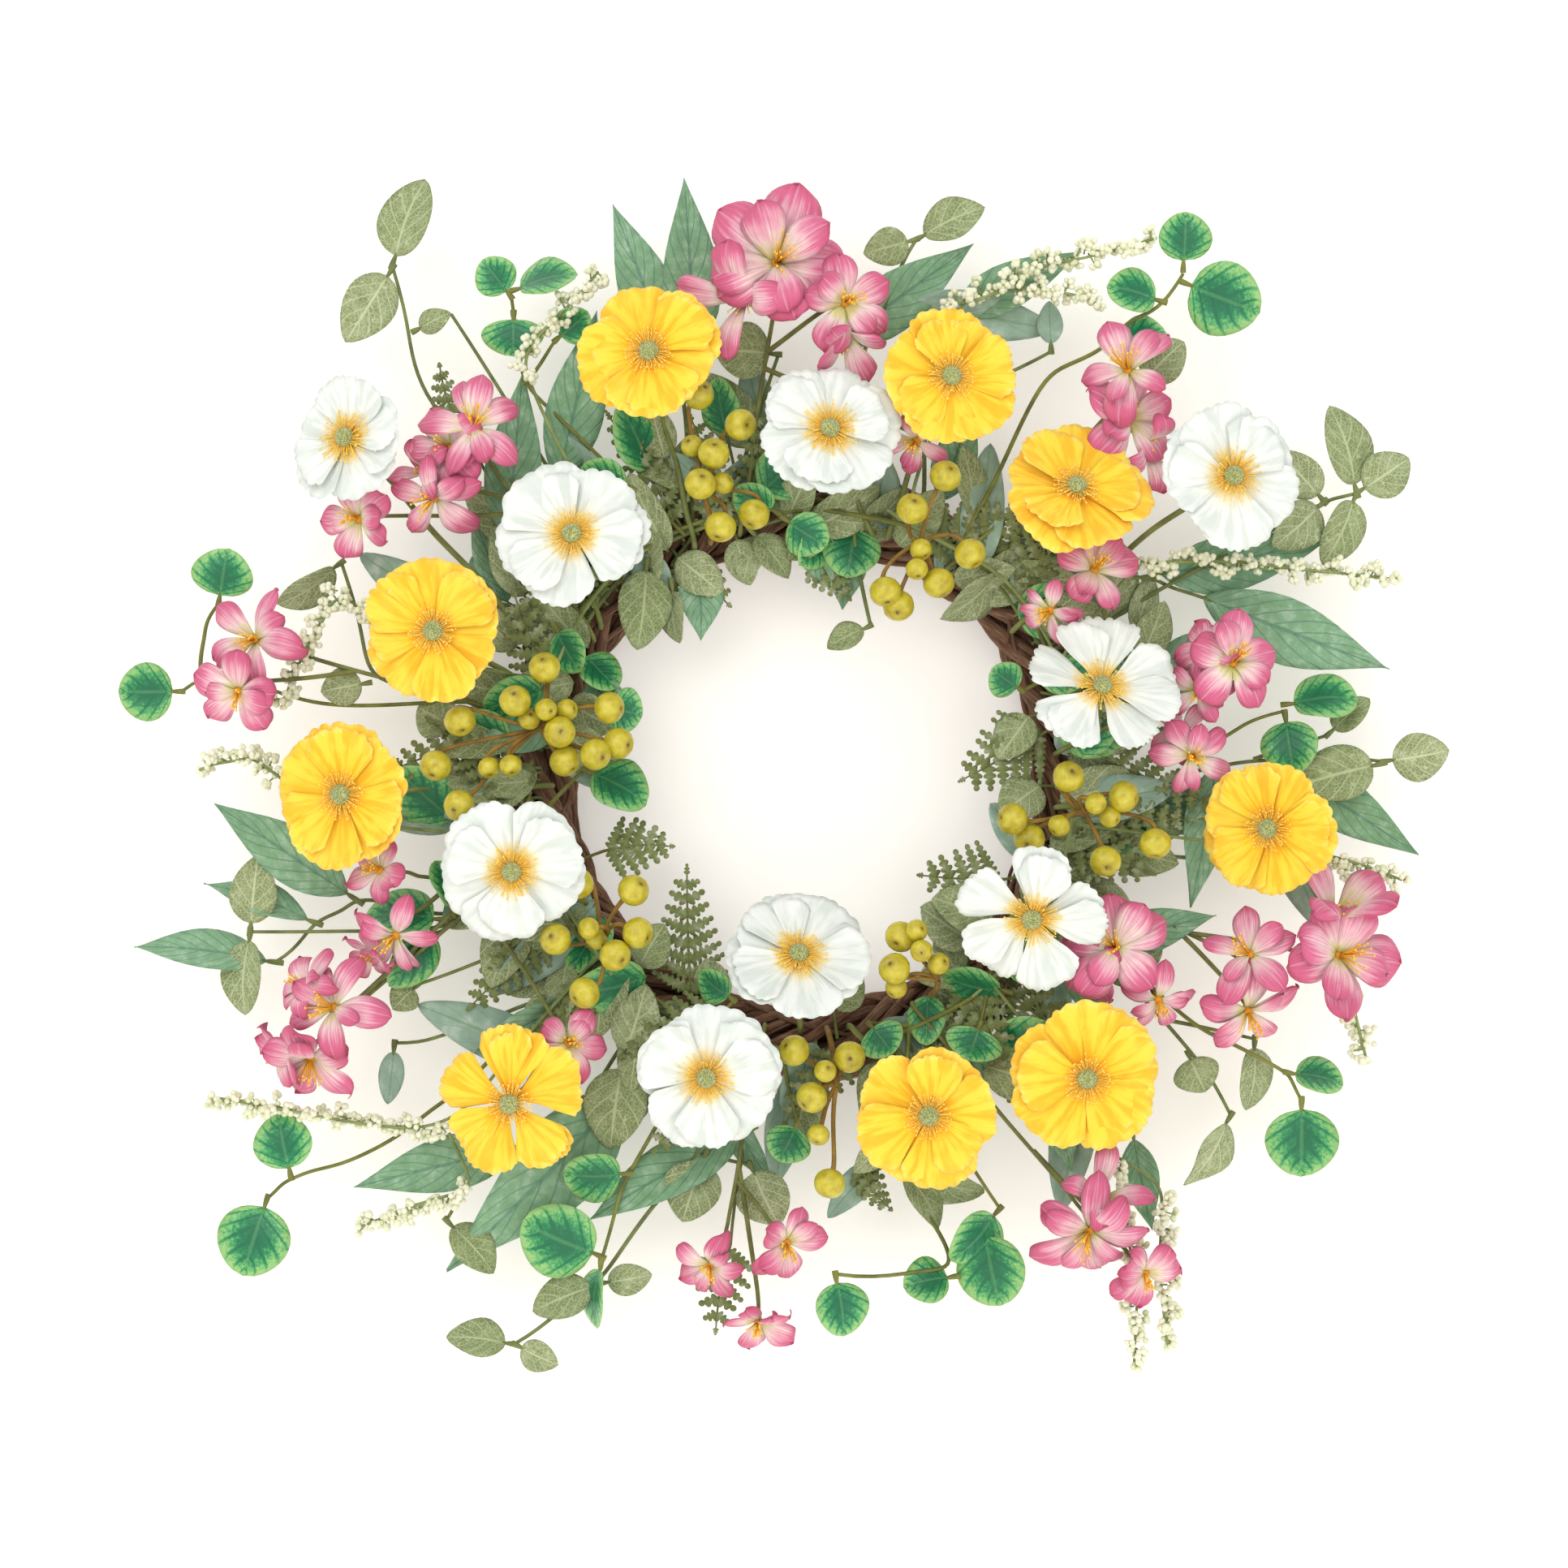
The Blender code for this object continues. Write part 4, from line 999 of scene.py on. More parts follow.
def closed_cane(bm, line, radius, steps, sides, seed, tint, rough=0.12):
    """A cane that closes on itself round the ring, knobbly like real vine."""
    part = new_mesh()
    bmesh.ops.create_grid(part, x_segments=steps, y_segments=sides, size=1.0, calc_uvs=True)
    for vert in part.verts:
        turn = (vert.co.x + 1.0) * math.pi
        about = (vert.co.y + 1.0) * math.pi
        reach, depth = line(turn)
        spot = Vector((math.sin(turn), math.cos(turn), seed)) * 5.0
        girth = radius * (1.0 + 2.2 * rough * noise.noise(spot))
        knob = Vector((math.sin(turn) * KNOBS, math.cos(turn) * KNOBS, seed + math.cos(about)))
        girth *= 1.0 + rough * noise.noise(knob + Vector((0.0, 0.0, math.sin(about))))
        reach += girth * math.cos(about)
        depth = min(depth + girth * math.sin(about), WALL_FLAT_Y - 0.1)
        vert.co = (reach * math.sin(turn), depth, reach * math.cos(turn))
    bmesh.ops.remove_doubles(part, verts=part.verts, dist=CANE_WELD)
    gather(bm, part, max(tint, 0.01), 0)


def drift(turn, seed, amount, rate=2.4):
    """A slow wobble that closes on itself round the ring."""
    spot = Vector((math.sin(turn) * rate, math.cos(turn) * rate, seed))
    return amount * noise.noise(spot)


def strand_line(strand, share, seed):
    """Where a cane runs that is twisted round the middle of its strand."""

    def line(turn):
        orbit = STRAND_TURNS * turn + FULL_TURN * strand / STRAND_COUNT
        twist = CANE_TWISTS * turn + FULL_TURN * share + strand
        reach = RING_RADIUS + STRAND_ORBIT * math.cos(orbit)
        reach += CANE_ORBIT * math.cos(twist) + drift(turn, seed, 3.0, 3.0)
        depth = STRAND_ORBIT * math.sin(orbit)
        depth += CANE_ORBIT * math.sin(twist) + drift(turn, seed + 50.0, 2.6, 3.0)
        return reach, depth

    return line


def core_line(share, seed):
    """Where a cane runs inside the ring."""

    def line(turn):
        phase = CORE_TWISTS * turn + FULL_TURN * share
        reach = RING_RADIUS + CORE_ORBIT * math.cos(phase) + drift(turn, seed, 4.0)
        return reach, CORE_ORBIT * math.sin(phase) + drift(turn, seed + 9.0, 4.0)

    return line


def wrap_line(turns, start, seed):
    """Where a loose cane runs, over the strands and under."""

    def line(turn):
        phase = turns * turn + start
        reach = RING_RADIUS + (WRAP_REACH + drift(turn, seed, 5.0)) * math.cos(phase)
        return reach, (WRAP_DEPTH + drift(turn, seed + 4.0, 5.0)) * math.sin(phase)

    return line


def build_vine_ring(settings):
    """Five strands of twisted canes, a core inside them and loose wraps outside."""
    bark = bark_finish(settings.bark)
    radius = settings.cane_radius / MM
    for strand in range(STRAND_COUNT):
        bm = new_mesh()
        for cane in range(settings.canes):
            seed = strand * 7.3 + cane * 2.1
            line = strand_line(strand, cane / settings.canes, seed)
            girth = radius * CANE_GIRTHS[cane % len(CANE_GIRTHS)]
            closed_cane(bm, line, girth, CANE_STEPS, CANE_SIDES, seed, (seed * 0.37) % 1.0)
        name = f"vine_strand_{strand + 1}"
        solid_piece(name, bm, [bark], "vine", [name])
    bm = new_mesh()
    for cane in range(CORE_CANES):
        seed = 90.0 + cane * 3.7
        line = core_line(cane / CORE_CANES, seed)
        closed_cane(bm, line, CORE_RADIUS, 150, 6, seed, (seed * 0.37) % 1.0)
    solid_piece("vine_core", bm, [bark], "vine", ["vine_core"])
    bm = new_mesh()
    for cane, (turns, girth) in enumerate(WRAPS):
        seed = 140.0 + cane * 5.9
        line = wrap_line(turns, cane * 0.9, seed)
        closed_cane(bm, line, girth, 230, 6, seed, (seed * 0.61) % 1.0, 0.2)
    solid_piece("vine_wraps", bm, [bark], "vine")


# ---------------------------------------------------------------- poppies

PETAL_COLUMNS = 34
PETAL_ROWS = 11
SPLAYED_FOOT = 0.72
PETAL_START = 2.4
DOME_LIFT = 1.7
DOME_SQUAT = 0.82
DOME_GRAIN = 0.42

# The calyx behind each head: distance back from the middle of the head, and radius
CALYX = ((0.8, 4.6), (2.6, 4.0), (5.0, 2.4), (9.0, 1.5))


def poppy_petal(middle, half, reach, cup, height, lap, foot, rng):
    """The shape of one broad petal: a fan with a few soft creases and a scalloped rim."""
    phases = [any_turn(rng) for _ in range(7)]
    lobes = rng.uniform(3.2, 5.4)
    scallops = rng.uniform(10.0, 15.0)
    depth = rng.uniform(0.030, 0.062)
    crease = rng.uniform(0.20, 0.55)
    fold = rng.uniform(0.5, 1.3)
    curl = rng.uniform(-2.8, 1.6)
    corner = rng.uniform(2.8, 4.6)
    shoulder = rng.uniform(0.14, 0.24)
    swell = rng.uniform(0.015, 0.05)
    sway = rng.uniform(-0.10, 0.10)

    def shape(across, along):
        puff = abs(math.sin(across * lobes + phases[0] + 0.5 * math.sin(across * 3.0 + phases[5])))
        notch = across * scallops + phases[2] + 0.9 * math.sin(across * 4.1 + phases[6])
        scallop = abs(math.sin(notch))
        rim = 1.0 - shoulder * abs(across) ** corner + swell * math.sin(across * 2.4 + phases[1])
        rim += (0.030 * (puff**0.6 - 0.6) + depth * (scallop**0.6 - 0.6)) * along**5
        out = PETAL_START + (reach * rim - PETAL_START) * along
        spread = foot + (1.0 - foot) * min(1.0, along * 1.4)
        rise = height + cup * reach * (0.35 * along + 0.65 * along**2)
        rise += crease * puff * along * (1.4 - 0.6 * along)
        rise += fold * math.sin(across * 2.8 + phases[3]) * along**2
        rise += fold * 0.7 * math.sin(across * 6.1 + phases[4]) * along**5
        rise += lap * across * along + curl * along**4
        rise -= 1.2 * (1.0 - along) ** 2
        return around(middle + across * half * spread + sway * along, out, rise)

    return shape


def poppy_heart(bm, place, threads, dome, rng, reaches):
    """Dome and a ring of stamens. Slot 0 is flock and slot 1 thread."""

    def grain(vert, _):
        out = (vert.co - place.translation).normalized()
        vert.co += out * DOME_GRAIN * noise.noise(vert.co * 1.35)

    squat = Matrix.Translation((0.0, 0.0, DOME_LIFT)) @ Matrix.Diagonal((1.0, 1.0, DOME_SQUAT, 1.0))
    ball(bm, dome, place @ squat, 22, 13, 0.2, 0, grain)
    for index in range(threads):
        turn = FULL_TURN * (index + rng.uniform(-0.4, 0.4)) / threads
        reach = rng.uniform(*reaches)
        lift = rng.uniform(0.8, 3.0) * (1.2 - reach / 22.0)
        foot = place @ around(turn, dome * 0.7, 0.6)
        knee = place @ around(turn, reach * 0.6, lift + 0.9)
        tip = around(turn + rng.uniform(-0.12, 0.12), reach, lift + 1.2)
        taper(bm, foot, knee, 0.26, 0.22, 3, 0.35, 1)
        taper(bm, knee, place @ tip, 0.22, 0.17, 3, 0.75, 1)
        dust = 0.50 if index % 2 else 0.38
        ball(bm, dust, place @ Matrix.Translation(tip), 5, 4, rng.uniform(0.8, 1.1), 1)


def poppy_finishes(settings):
    """The cloth of each colour of poppy."""
    yellow = poppy_petal_finish(
        "yellow_poppy_petal",
        (
            (0.08, paint(242, 160, 24)),
            (0.18, paint(246, 184, 34)),
            (0.28, paint(245, 199, 46)),
            (0.46, settings.yellow),
            (0.93, paint(248, 212, 68)),
            (1.0, paint(250, 224, 112)),
        ),
        # painted shade in the pleat valleys
        paint(248, 214, 140),
        paint(252, 216, 84),
    )
    white = poppy_petal_finish(
        "white_poppy_petal",
        (
            (0.08, paint(248, 186, 60)),
            (0.18, paint(250, 212, 118)),
            (0.28, paint(246, 232, 188)),
            (0.38, paint(234, 235, 226)),
            (0.60, settings.white),
            (1.0, paint(232, 236, 232)),
        ),
        # painted shade in the pleat valleys
        paint(226, 232, 228),
        paint(238, 241, 238),
    )
    return {"yellow": yellow, "white": white}


def build_poppies(settings):
    """Each poppy's two layers of petals, its heart, and its stem with the calyx."""
    cloths = poppy_finishes(settings)
    reaches = {"yellow": (6.8, 11.6), "white": (7.4, 13.6)}
    flock = flock_finish()
    thread = thread_finish("stamen_thread", paint(255, 190, 56), paint(255, 218, 100))
    stem = stem_finish("poppy_stem", paint(134, 142, 80), paint(98, 108, 54))
    for number, (name, x, z, y, radius, clock, lean, dive) in enumerate(POPPIES):
        rng = random.Random(400 + number)
        colour = name.split("_")[0]
        axis = facing(clock, lean)
        centre = Vector((x, y, z))
        place = seat(centre, axis)
        splayed = name in SPLAYED
        bm = new_mesh()
        first = any_turn(rng)
        for layer, count in enumerate((settings.outer_petals, settings.inner_petals)):
            for petal in range(count):
                step = petal + 0.5 * layer + rng.uniform(-0.16, 0.16)
                reach = radius * (1.03 - rng.uniform(0.0, 0.13) * layer) * rng.uniform(0.93, 1.05)
                breadth = 0.80 if splayed else 1.28 - 0.16 * layer
                half = math.pi / 5.0 * breadth * rng.uniform(0.85, 1.12)
                cup = (0.03 + 0.05 * layer) * rng.uniform(0.2, 1.9)
                lap = rng.uniform(0.6, 2.2) * rng.choice((-1.0, 1.0))
                height = -1.0 + 1.2 * layer + 0.4 * (petal % 3)
                foot = SPLAYED_FOOT if splayed else 1.0
                middle = first + FULL_TURN * step / count
                shape = poppy_petal(middle, half, reach, cup, height, lap, foot, rng)
                sheet(bm, PETAL_COLUMNS, PETAL_ROWS, shape, place, rng.random())
        cloth_piece(f"{name}_petals", bm, cloths[colour], colour, settings.cloth / MM, [name])
        bm = new_mesh()
        poppy_heart(bm, place, settings.stamens, settings.dome_radius / MM, rng, reaches[colour])
        solid_piece(f"{name}_heart", bm, [flock, thread], colour)
        path = wander(stem_path(centre, axis, dive, POPPY_STEM_Y + STEM_DROP), 2.4, rng)
        calyx = [(centre - axis * back, girth) for back, girth in CALYX]
        stems_piece(f"{name}_stem", [tapered(path, 1.5, 1.3), calyx], stem, "fern", 2)


# ---------------------------------------------------------------- blossoms

LARGE_BLOSSOM = 24
PAIRED_BLOSSOM = 16
BLOSSOM_CLOTH = 0.35
THROAT_DEPTH = -0.20


def blossom_petal(middle, reach, width, cup, back, twist, rng):
    """The shape of one petal with a crease down it, widest past its middle and round at its tip."""
    phase = any_turn(rng)
    turn = Matrix.Rotation(middle, 3, "Z")
    widest = rng.uniform(0.58, 0.70)

    def shape(across, along):
        along = math.sin(along * math.pi / 2.0) ** 1.15
        if along < widest:
            breadth = width * (0.20 + 0.80 * math.sin(math.pi * 0.5 * along / widest) ** 1.3)
        else:
            beyond = (along - widest) / (1.0 - widest)
            breadth = width * math.sqrt(max(0.0, 1.0 - beyond**2.3))
        out = 1.0 + reach * along * (1.0 - 0.04 * across * across)
        rise = reach * cup * (1.0 - (1.0 - along) ** 2.0) - reach * back * along**3
        rise += 0.30 * breadth * abs(across) ** 1.2 * (1.0 - 0.5 * along)
        rise -= 0.42 * breadth * abs(across) ** 3.0
        rise += 0.45 * math.sin(along * 8.0 + phase + 2.0 * across) * along * abs(across)
        rise += twist * across * along * 2.2
        return turn @ Vector((out, across * breadth, rise - reach * 0.22))

    return shape


def bloom(petals, threads, centre, axis, radius, count, rng, stamens, half_open=False):
    """One blossom: a layer or two of petals round a throat with its threads and its tube."""
    place = seat(centre, axis)
    broad = rng.random() < 0.45
    layers = ((count, 1.0), (count - 1, 0.84) if radius > LARGE_BLOSSOM else (2, 0.8))
    if half_open:
        layers = ((count - 1, 1.0),)
    first = any_turn(rng)
    for layer, (number, scale) in enumerate(layers):
        for petal in range(number):
            step = petal + 0.5 * layer + rng.uniform(-0.13, 0.13)
            reach = radius * scale * rng.uniform(0.94, 1.2)
            width = reach * rng.uniform(*((0.34, 0.42) if broad else (0.22, 0.31)))
            cup = rng.uniform(0.16, 0.42) + 0.22 * layer + (0.7 if half_open else 0.0)
            back = rng.uniform(0.0, 0.30) if broad else rng.uniform(0.1, 0.55)
            twist = rng.uniform(-1.4, 1.4)
            shape = blossom_petal(first + FULL_TURN * step / number, reach, width, cup, back, twist, rng)
            sheet(petals, 8, 12, shape, place, rng.random())
    throat = THROAT_DEPTH * radius
    foot = place @ Vector((0.0, 0.0, throat))
    fan = any_turn(rng)
    for _ in range(stamens):
        turn = fan + rng.uniform(-1.3, 1.3)
        spread = rng.uniform(0.04, 0.40) * radius
        tip = place @ around(turn, spread, throat + rng.uniform(0.38, 0.60) * radius)
        taper(threads, foot, tip, 0.42, 0.26, 3, 0.55)
        ball(threads, 0.60, Matrix.Translation(tip), 5, 4, rng.uniform(0.8, 1.1))
    end = place @ Vector((0.0, 0.0, throat - 5.5))
    neck = place @ Vector((0.0, 0.0, throat + 1.2))
    taper(threads, end, neck, 1.0, 2.0, 7, 0.1)


def build_blossoms(settings):
    """Each sprig's blossoms, a smaller one beside most large ones, and its stems."""
    cloth = blossom_petal_finish(settings.pink, settings.deep)
    thread = thread_finish("blossom_stamen", paint(222, 140, 24), paint(252, 196, 70))
    stem = stem_finish("blossom_stem", paint(124, 130, 70), paint(92, 92, 48))
    count = settings.petals
    for number, (name, dive, heads) in enumerate(BLOSSOMS):
        rng = random.Random(700 + number)
        petals, threads = new_mesh(), new_mesh()
        runs = []
        trunk = None
        for index, (x, z, y, radius, clock, lean) in enumerate(heads):
            centre = Vector((x, y, z))
            axis = facing(clock, lean)
            bloom(petals, threads, centre, axis, radius, count, rng, settings.stamens)
            if radius > PAIRED_BLOSSOM and rng.random() < 0.75:
                away = any_turn(rng)
                beside = Vector((math.cos(away), 0.0, math.sin(away)))
                second = centre + beside * radius * 0.72 + Vector((0.0, 8.0, 0.0))
                turned = (axis + beside * rng.uniform(0.5, 1.1)).normalized()
                small = radius * rng.uniform(0.66, 0.82)
                bloom(petals, threads, second, turned, small, count, rng, 6, rng.random() < 0.5)
                runs.append([(second - turned * 4.0, 0.8), (centre - axis * 10.0, 0.8)])
            path = stem_path(centre - axis * 3.0, axis, dive, BLOSSOM_STEM_Y + STEM_DROP)
            if trunk:
                share = max(0.1, 0.85 - 0.12 * index)
                path = path[:3] + [trunk[-3].lerp(trunk[-4], share)]
            else:
                trunk = path
            runs.append(tapered(wander(path, 1.4, rng), 0.9, 1.2))
        cloth_piece(f"{name}_petals", petals, cloth, "pink", BLOSSOM_CLOTH, [name])
        solid_piece(f"{name}_stamens", threads, [thread], "yellow")
        stems_piece(f"{name}_stems", runs, stem, "fern")


# ---------------------------------------------------------------- berries

FULL_BERRY = 2


def berry(bm, centre, radius, look, rng):
    """An apple shaped berry: a ball drawn in at its eye and at its stalk."""
    place = seat(centre, look)

    def apple(vert, layer):
        high = vert.co.z / radius
        vert.co.z -= radius * (0.20 * smooth_step(0.93, 1.0, high) + 0.06 * high)
        vert.co.x *= 1.0 + 0.05 * noise.noise(vert.co * 0.3 + centre)
        vert[layer] = max(0.01, high)
        vert.co = place @ vert.co

    ball(bm, radius, Matrix.Identity(4), 18, 18, 0.01, 0, apple)
    foot = place @ Vector((0.0, 0.0, radius * 0.66))
    for _ in range(5):
        tip = place @ around(any_turn(rng), radius * 0.1, radius * 0.80)
        taper(bm, foot, tip, radius * 0.05, radius * 0.02, 4, 1.2)


def build_berries(settings):
    """Each sprig's berries, on stems that part at its hub."""
    lacquer = berry_finish(settings.colour)
    stem = stem_finish("berry_stem", paint(158, 124, 52), paint(112, 84, 34))
    for number, (name, dive, (hub_x, hub_z), fruit) in enumerate(BERRIES):
        rng = random.Random(900 + number)
        middle = Vector((hub_x, BERRY_STEM_Y, hub_z))
        foot = on_ring(dive, DIVE_RADIUS, BERRY_STEM_Y + 8.0)
        bend = Vector((rng.uniform(-4, 4), -2.0, rng.uniform(-4, 4)))
        trunk = [middle, middle.lerp(foot, 0.5) + bend, foot]
        trunk.append(on_ring(dive, DIVE_RADIUS + 2.0, DIVE_END_Y))
        runs = [tapered(trunk, 1.25, 1.5)]
        bm = new_mesh()
        for x, z, y, size in fruit:
            spot = Vector((x, y - BERRY_FORWARD, z))
            radius = (settings.radius if size == FULL_BERRY else settings.small_radius) / MM
            out = Vector((x - hub_x, 0.0, z - hub_z))
            look = Vector((rng.uniform(-1.1, 1.1), rng.uniform(-1.0, -0.35), rng.uniform(-1.2, 0.3)))
            look += out.normalized() * 0.7
            berry(bm, spot, radius, look, rng)
            back = spot - look.normalized() * radius * 0.9
            behind = back - look.normalized() * 6.0
            bend = Vector((rng.uniform(-3, 3), 3.0, rng.uniform(-3, 3)))
            half_way = middle.lerp(behind, 0.45) + bend
            runs.append([(middle, 1.15), (half_way, 1.0), (behind, 0.95), (back, 1.2)])
        solid_piece(f"{name}_fruit", bm, [lacquer], "berry", [name])
        stems_piece(f"{name}_stems", runs, stem, "berry")


# ---------------------------------------------------------------- leaf sprays

ARC_STEP = 12.0
ARC_OVERRUN = 5.0
LONG_LEAF = 45.0
BLUNT_SAGE = 3.0

# How each blade's breadth runs: where its widest place lies, and how blunt its ends are
OUTLINES = {"sage": (0.72, 1.12), "oval": (0.80, 0.66), "round": (0.84, 0.52)}

# Each kind: depth, outline, usual width, width as a share of the length, curl, fold
LEAF_KINDS = {
    "sage_spray": (SAGE_Y, "sage", 26.0, 0.33, 0.10, 0.20),
    "net_leaf_spray": (NET_Y, "oval", 21.0, 0.62, 0.14, 0.18),
    "dappled_spray": (DAPPLED_Y, "round", 26.0, 0.94, 0.12, 0.12),
}

# Small leaves close round the ring, by kind: how many a quarter, length, width, depth
UNDERGROWTH = {
    "sage_spray": (15, 46.0, 20.0, -21.0),
    "net_leaf_spray": (26, 36.0, 22.0, -24.0),
    "dappled_spray": (8, 29.0, 24.0, -27.0),
}


def breadth_at(outline, along):
    """Half the breadth of a blade at a share of its length, 1 where it is widest."""
    skew, blunt = OUTLINES[outline]
    return math.sin(math.pi * min(max(along, 0.0), 1.0) ** skew) ** blunt


def leaf(bm, base, tip, width, outline, rng, roll, curl, fold):
    """One blade from its base to its tip: folded on its midrib, curled and a little wavy."""
    run = tip - base
    length = run.length
    along_axis = run.normalized()
    across_axis = along_axis.cross(FORWARD).normalized()
    up = across_axis.cross(along_axis).normalized()
    spin = Matrix.Rotation(roll, 3, along_axis)
    across_axis, up = spin @ across_axis, spin @ up
    if up.y > 0.0:
        up = -up
    phase = any_turn(rng)
    twist = rng.uniform(-0.35, 0.35)
    wave = rng.uniform(0.01, 0.03)

    def shape(across, along):
        along = 0.6 * (0.5 - 0.5 * math.cos(math.pi * along)) + 0.4 * along
        share = along - 0.02 * math.sin(along * math.pi)
        side = across * breadth_at(outline, share) * width / 2.0
        lean = twist * (along - 0.5)
        rise = curl * length * (math.sin(math.pi * along) * 0.5 - 0.35 * along**3)
        ripple = math.sin(across * 2.0 + along * 8.0 + phase)
        rise += fold * abs(side) + wave * length * ripple * abs(across)
        spot = base + run * share + across_axis * side * math.cos(lean)
        return spot + up * (rise + side * math.sin(lean))

    sheet(bm, 6, 14, shape, Matrix.Identity(4), rng.random())


def spray_arc(branches, y, rng):
    """A wired stem laid along the ring between the outermost side stems of a spray."""
    inner = {spot for path in branches for spot in path[1:]}
    roots = {path[0] for path in branches if path[0] not in inner}
    turns = sorted(clock_of(*spot) % 360.0 for spot in roots)
    if turns[-1] - turns[0] > 180.0:
        turns = sorted(clock_of(*spot) for spot in roots)
    arc = []
    turn = turns[0] - ARC_OVERRUN
    while turn < turns[-1] + ARC_OVERRUN:
        reach = ARC_RADIUS - 3.0 + rng.uniform(-4.0, 4.0)
        arc.append(on_ring(turn, reach, y + 4.0 + rng.uniform(-2.0, 2.0)))
        turn += ARC_STEP
    arc.append(on_ring(turns[-1] + ARC_OVERRUN, ARC_RADIUS - 3.0, y + 8.0))
    return arc, roots


def spray_runs(branches, y, rng, thick=1.25, thin=0.85):
    """The stems of a spray: one along the ring, and its side stems."""
    arc, roots = spray_arc(branches, y, rng)
    runs = [tapered(arc, thick, thick * 0.85)]
    for path in branches:
        points = [layered(x, z, y) for x, z in path]
        if path[0] in roots:
            points[0] = on_ring(clock_of(*path[0]), ARC_RADIUS - 6.0, y + 6.0)
        runs.append(tapered(wander(points, 3.4, rng), thick * 0.9, thin))
    return runs


def undergrowth(kind, number, rng):
    """Leaves that cover the stems round the ring: start, tip and width of each."""
    count, length, width, depth = UNDERGROWTH[kind]
    for index in range(count):
        clock = QUARTER_START + QUARTER * number + QUARTER * (index + rng.random()) / count
        bare = 12.0 < clock % 360.0 < 58.0 or 158.0 < clock % 360.0 < 200.0
        if bare and rng.random() < 0.45:
            continue
        inward = rng.random() < (0.05 if bare else 0.16)
        if inward:
            reach = rng.uniform(106.0, 116.0)
        else:
            reach = rng.uniform(112.0, 112.0 + 72.0 * rng.random() ** 0.7 + 4.0)
        swing = rng.uniform(-62.0, 62.0) + (180.0 if inward else 0.0)
        size = rng.uniform(0.72, 1.18)
        long = length * size * (0.7 if inward else 1.0)
        start = on_ring(clock, reach, depth + rng.uniform(-4.0, 6.0))
        tip = start + on_ring(clock + swing, long, rng.uniform(-9.0, 2.0))
        yield start, tip, width * size * rng.uniform(0.85, 1.1)


def build_leaf_spray(kind, sprays, finish, stem, slot, settings, odd=None):
    """Leaves and stems of one kind by quarters. Leaves given a narrow width are turned edge on.

    Where an odd finish is given, the short leaves and half of the small ones take it.
    """
    y, outline, usual, ratio, curl, fold = LEAF_KINDS[kind]
    cloth = settings.cloth / MM
    for number, (quarter, branches, leaves) in enumerate(sprays):
        rng = random.Random(len(kind) * 31 + number)
        runs = spray_runs(branches, y, rng)
        plain = new_mesh(), outline
        silvery = new_mesh(), "oval"
        for base_x, base_z, tip_x, tip_z, width in leaves:
            run = math.hypot(tip_x - base_x, tip_z - base_z)
            full = max(width, min(usual * 1.25, run * ratio))
            roll = math.acos(min(1.0, width / full)) * rng.choice((-1.0, 1.0)) * 0.8
            roll += rng.uniform(-0.25, 0.25)
            base = layered(base_x, base_z, y - 0.5)
            tip = layered(tip_x, tip_z, y - 0.5) + Vector((0.0, rng.uniform(-5.0, 3.0), 0.0))
            start = base.lerp(tip, min(0.16, 4.0 / run))
            if kind == "sage_spray" and width > 18.0 and run < BLUNT_SAGE * width:
                start = tip + (base - tip).normalized() * BLUNT_SAGE * width
            target, form = plain if odd is None or run > LONG_LEAF else silvery
            leaf(target, start, tip, full, form, rng, roll, curl, fold)
            rib = start.lerp(tip, 0.35) + Vector((0.0, 0.1, 0.0))
            runs.append([(base, 0.95), (start, 0.7), (rib, 0.4)])
            runs.append([(base.lerp(tip, -0.06), 1.5), (base.lerp(tip, 0.03), 1.6), (start, 0.9)])
        for start, tip, width in undergrowth(kind, number, rng):
            target, form = plain if odd is None or rng.random() < 0.45 else silvery
            roll = rng.uniform(-0.6, 0.6)
            leaf(target, start, tip, width, form, rng, roll, curl * rng.uniform(-0.5, 1.6), fold)
            root = on_ring(clock_of(start.x, start.z), ARC_RADIUS - 8.0, start.y + 5.0)
            bend = root.lerp(start, 0.5) + Vector((0.0, 2.0, 0.0))
            runs.append([(root, 0.9), (bend, 0.8), (start, 0.7)])
        name = f"{kind}_{quarter}"
        cloth_piece(f"{name}_leaves", plain[0], finish, slot, cloth, [name])
        if odd:
            cloth_piece(f"{name}_eucalyptus", silvery[0], odd, slot, cloth)
        else:
            silvery[0].free()
        stems_piece(f"{name}_stems", runs, stem, "fern")


def build_leaves(settings):
    """Every spray of leaves, kind by kind."""
    stem = stem_finish("leaf_stem", paint(122, 132, 76), paint(84, 96, 50))
    lime = stem_finish("dappled_leaf_stem", paint(128, 132, 62), paint(92, 96, 44))
    sage = sage_leaf_finish(settings.sage, paint(84, 130, 112))
    silver = eucalyptus_leaf_finish(settings.eucalyptus)
    net = net_leaf_finish(settings.net, paint(212, 218, 180))
    dappled = dappled_leaf_finish(settings.rim, settings.heart)
    build_leaf_spray("sage_spray", SAGE, sage, stem, "sage", settings, silver)
    build_leaf_spray("net_leaf_spray", NET, net, stem, "net", settings)
    build_leaf_spray("dappled_spray", DAPPLED, dappled, lime, "dappled", settings)


# ---------------------------------------------------------------- ferns and seeds

FERN_CLOTH = 0.5
LOBE_LENGTH = 2.6
PAIR_STEP = 7.4
RIB_STEPS = 7
SMALL_FRONDS = 7
CLUSTER_STEP = 2.1


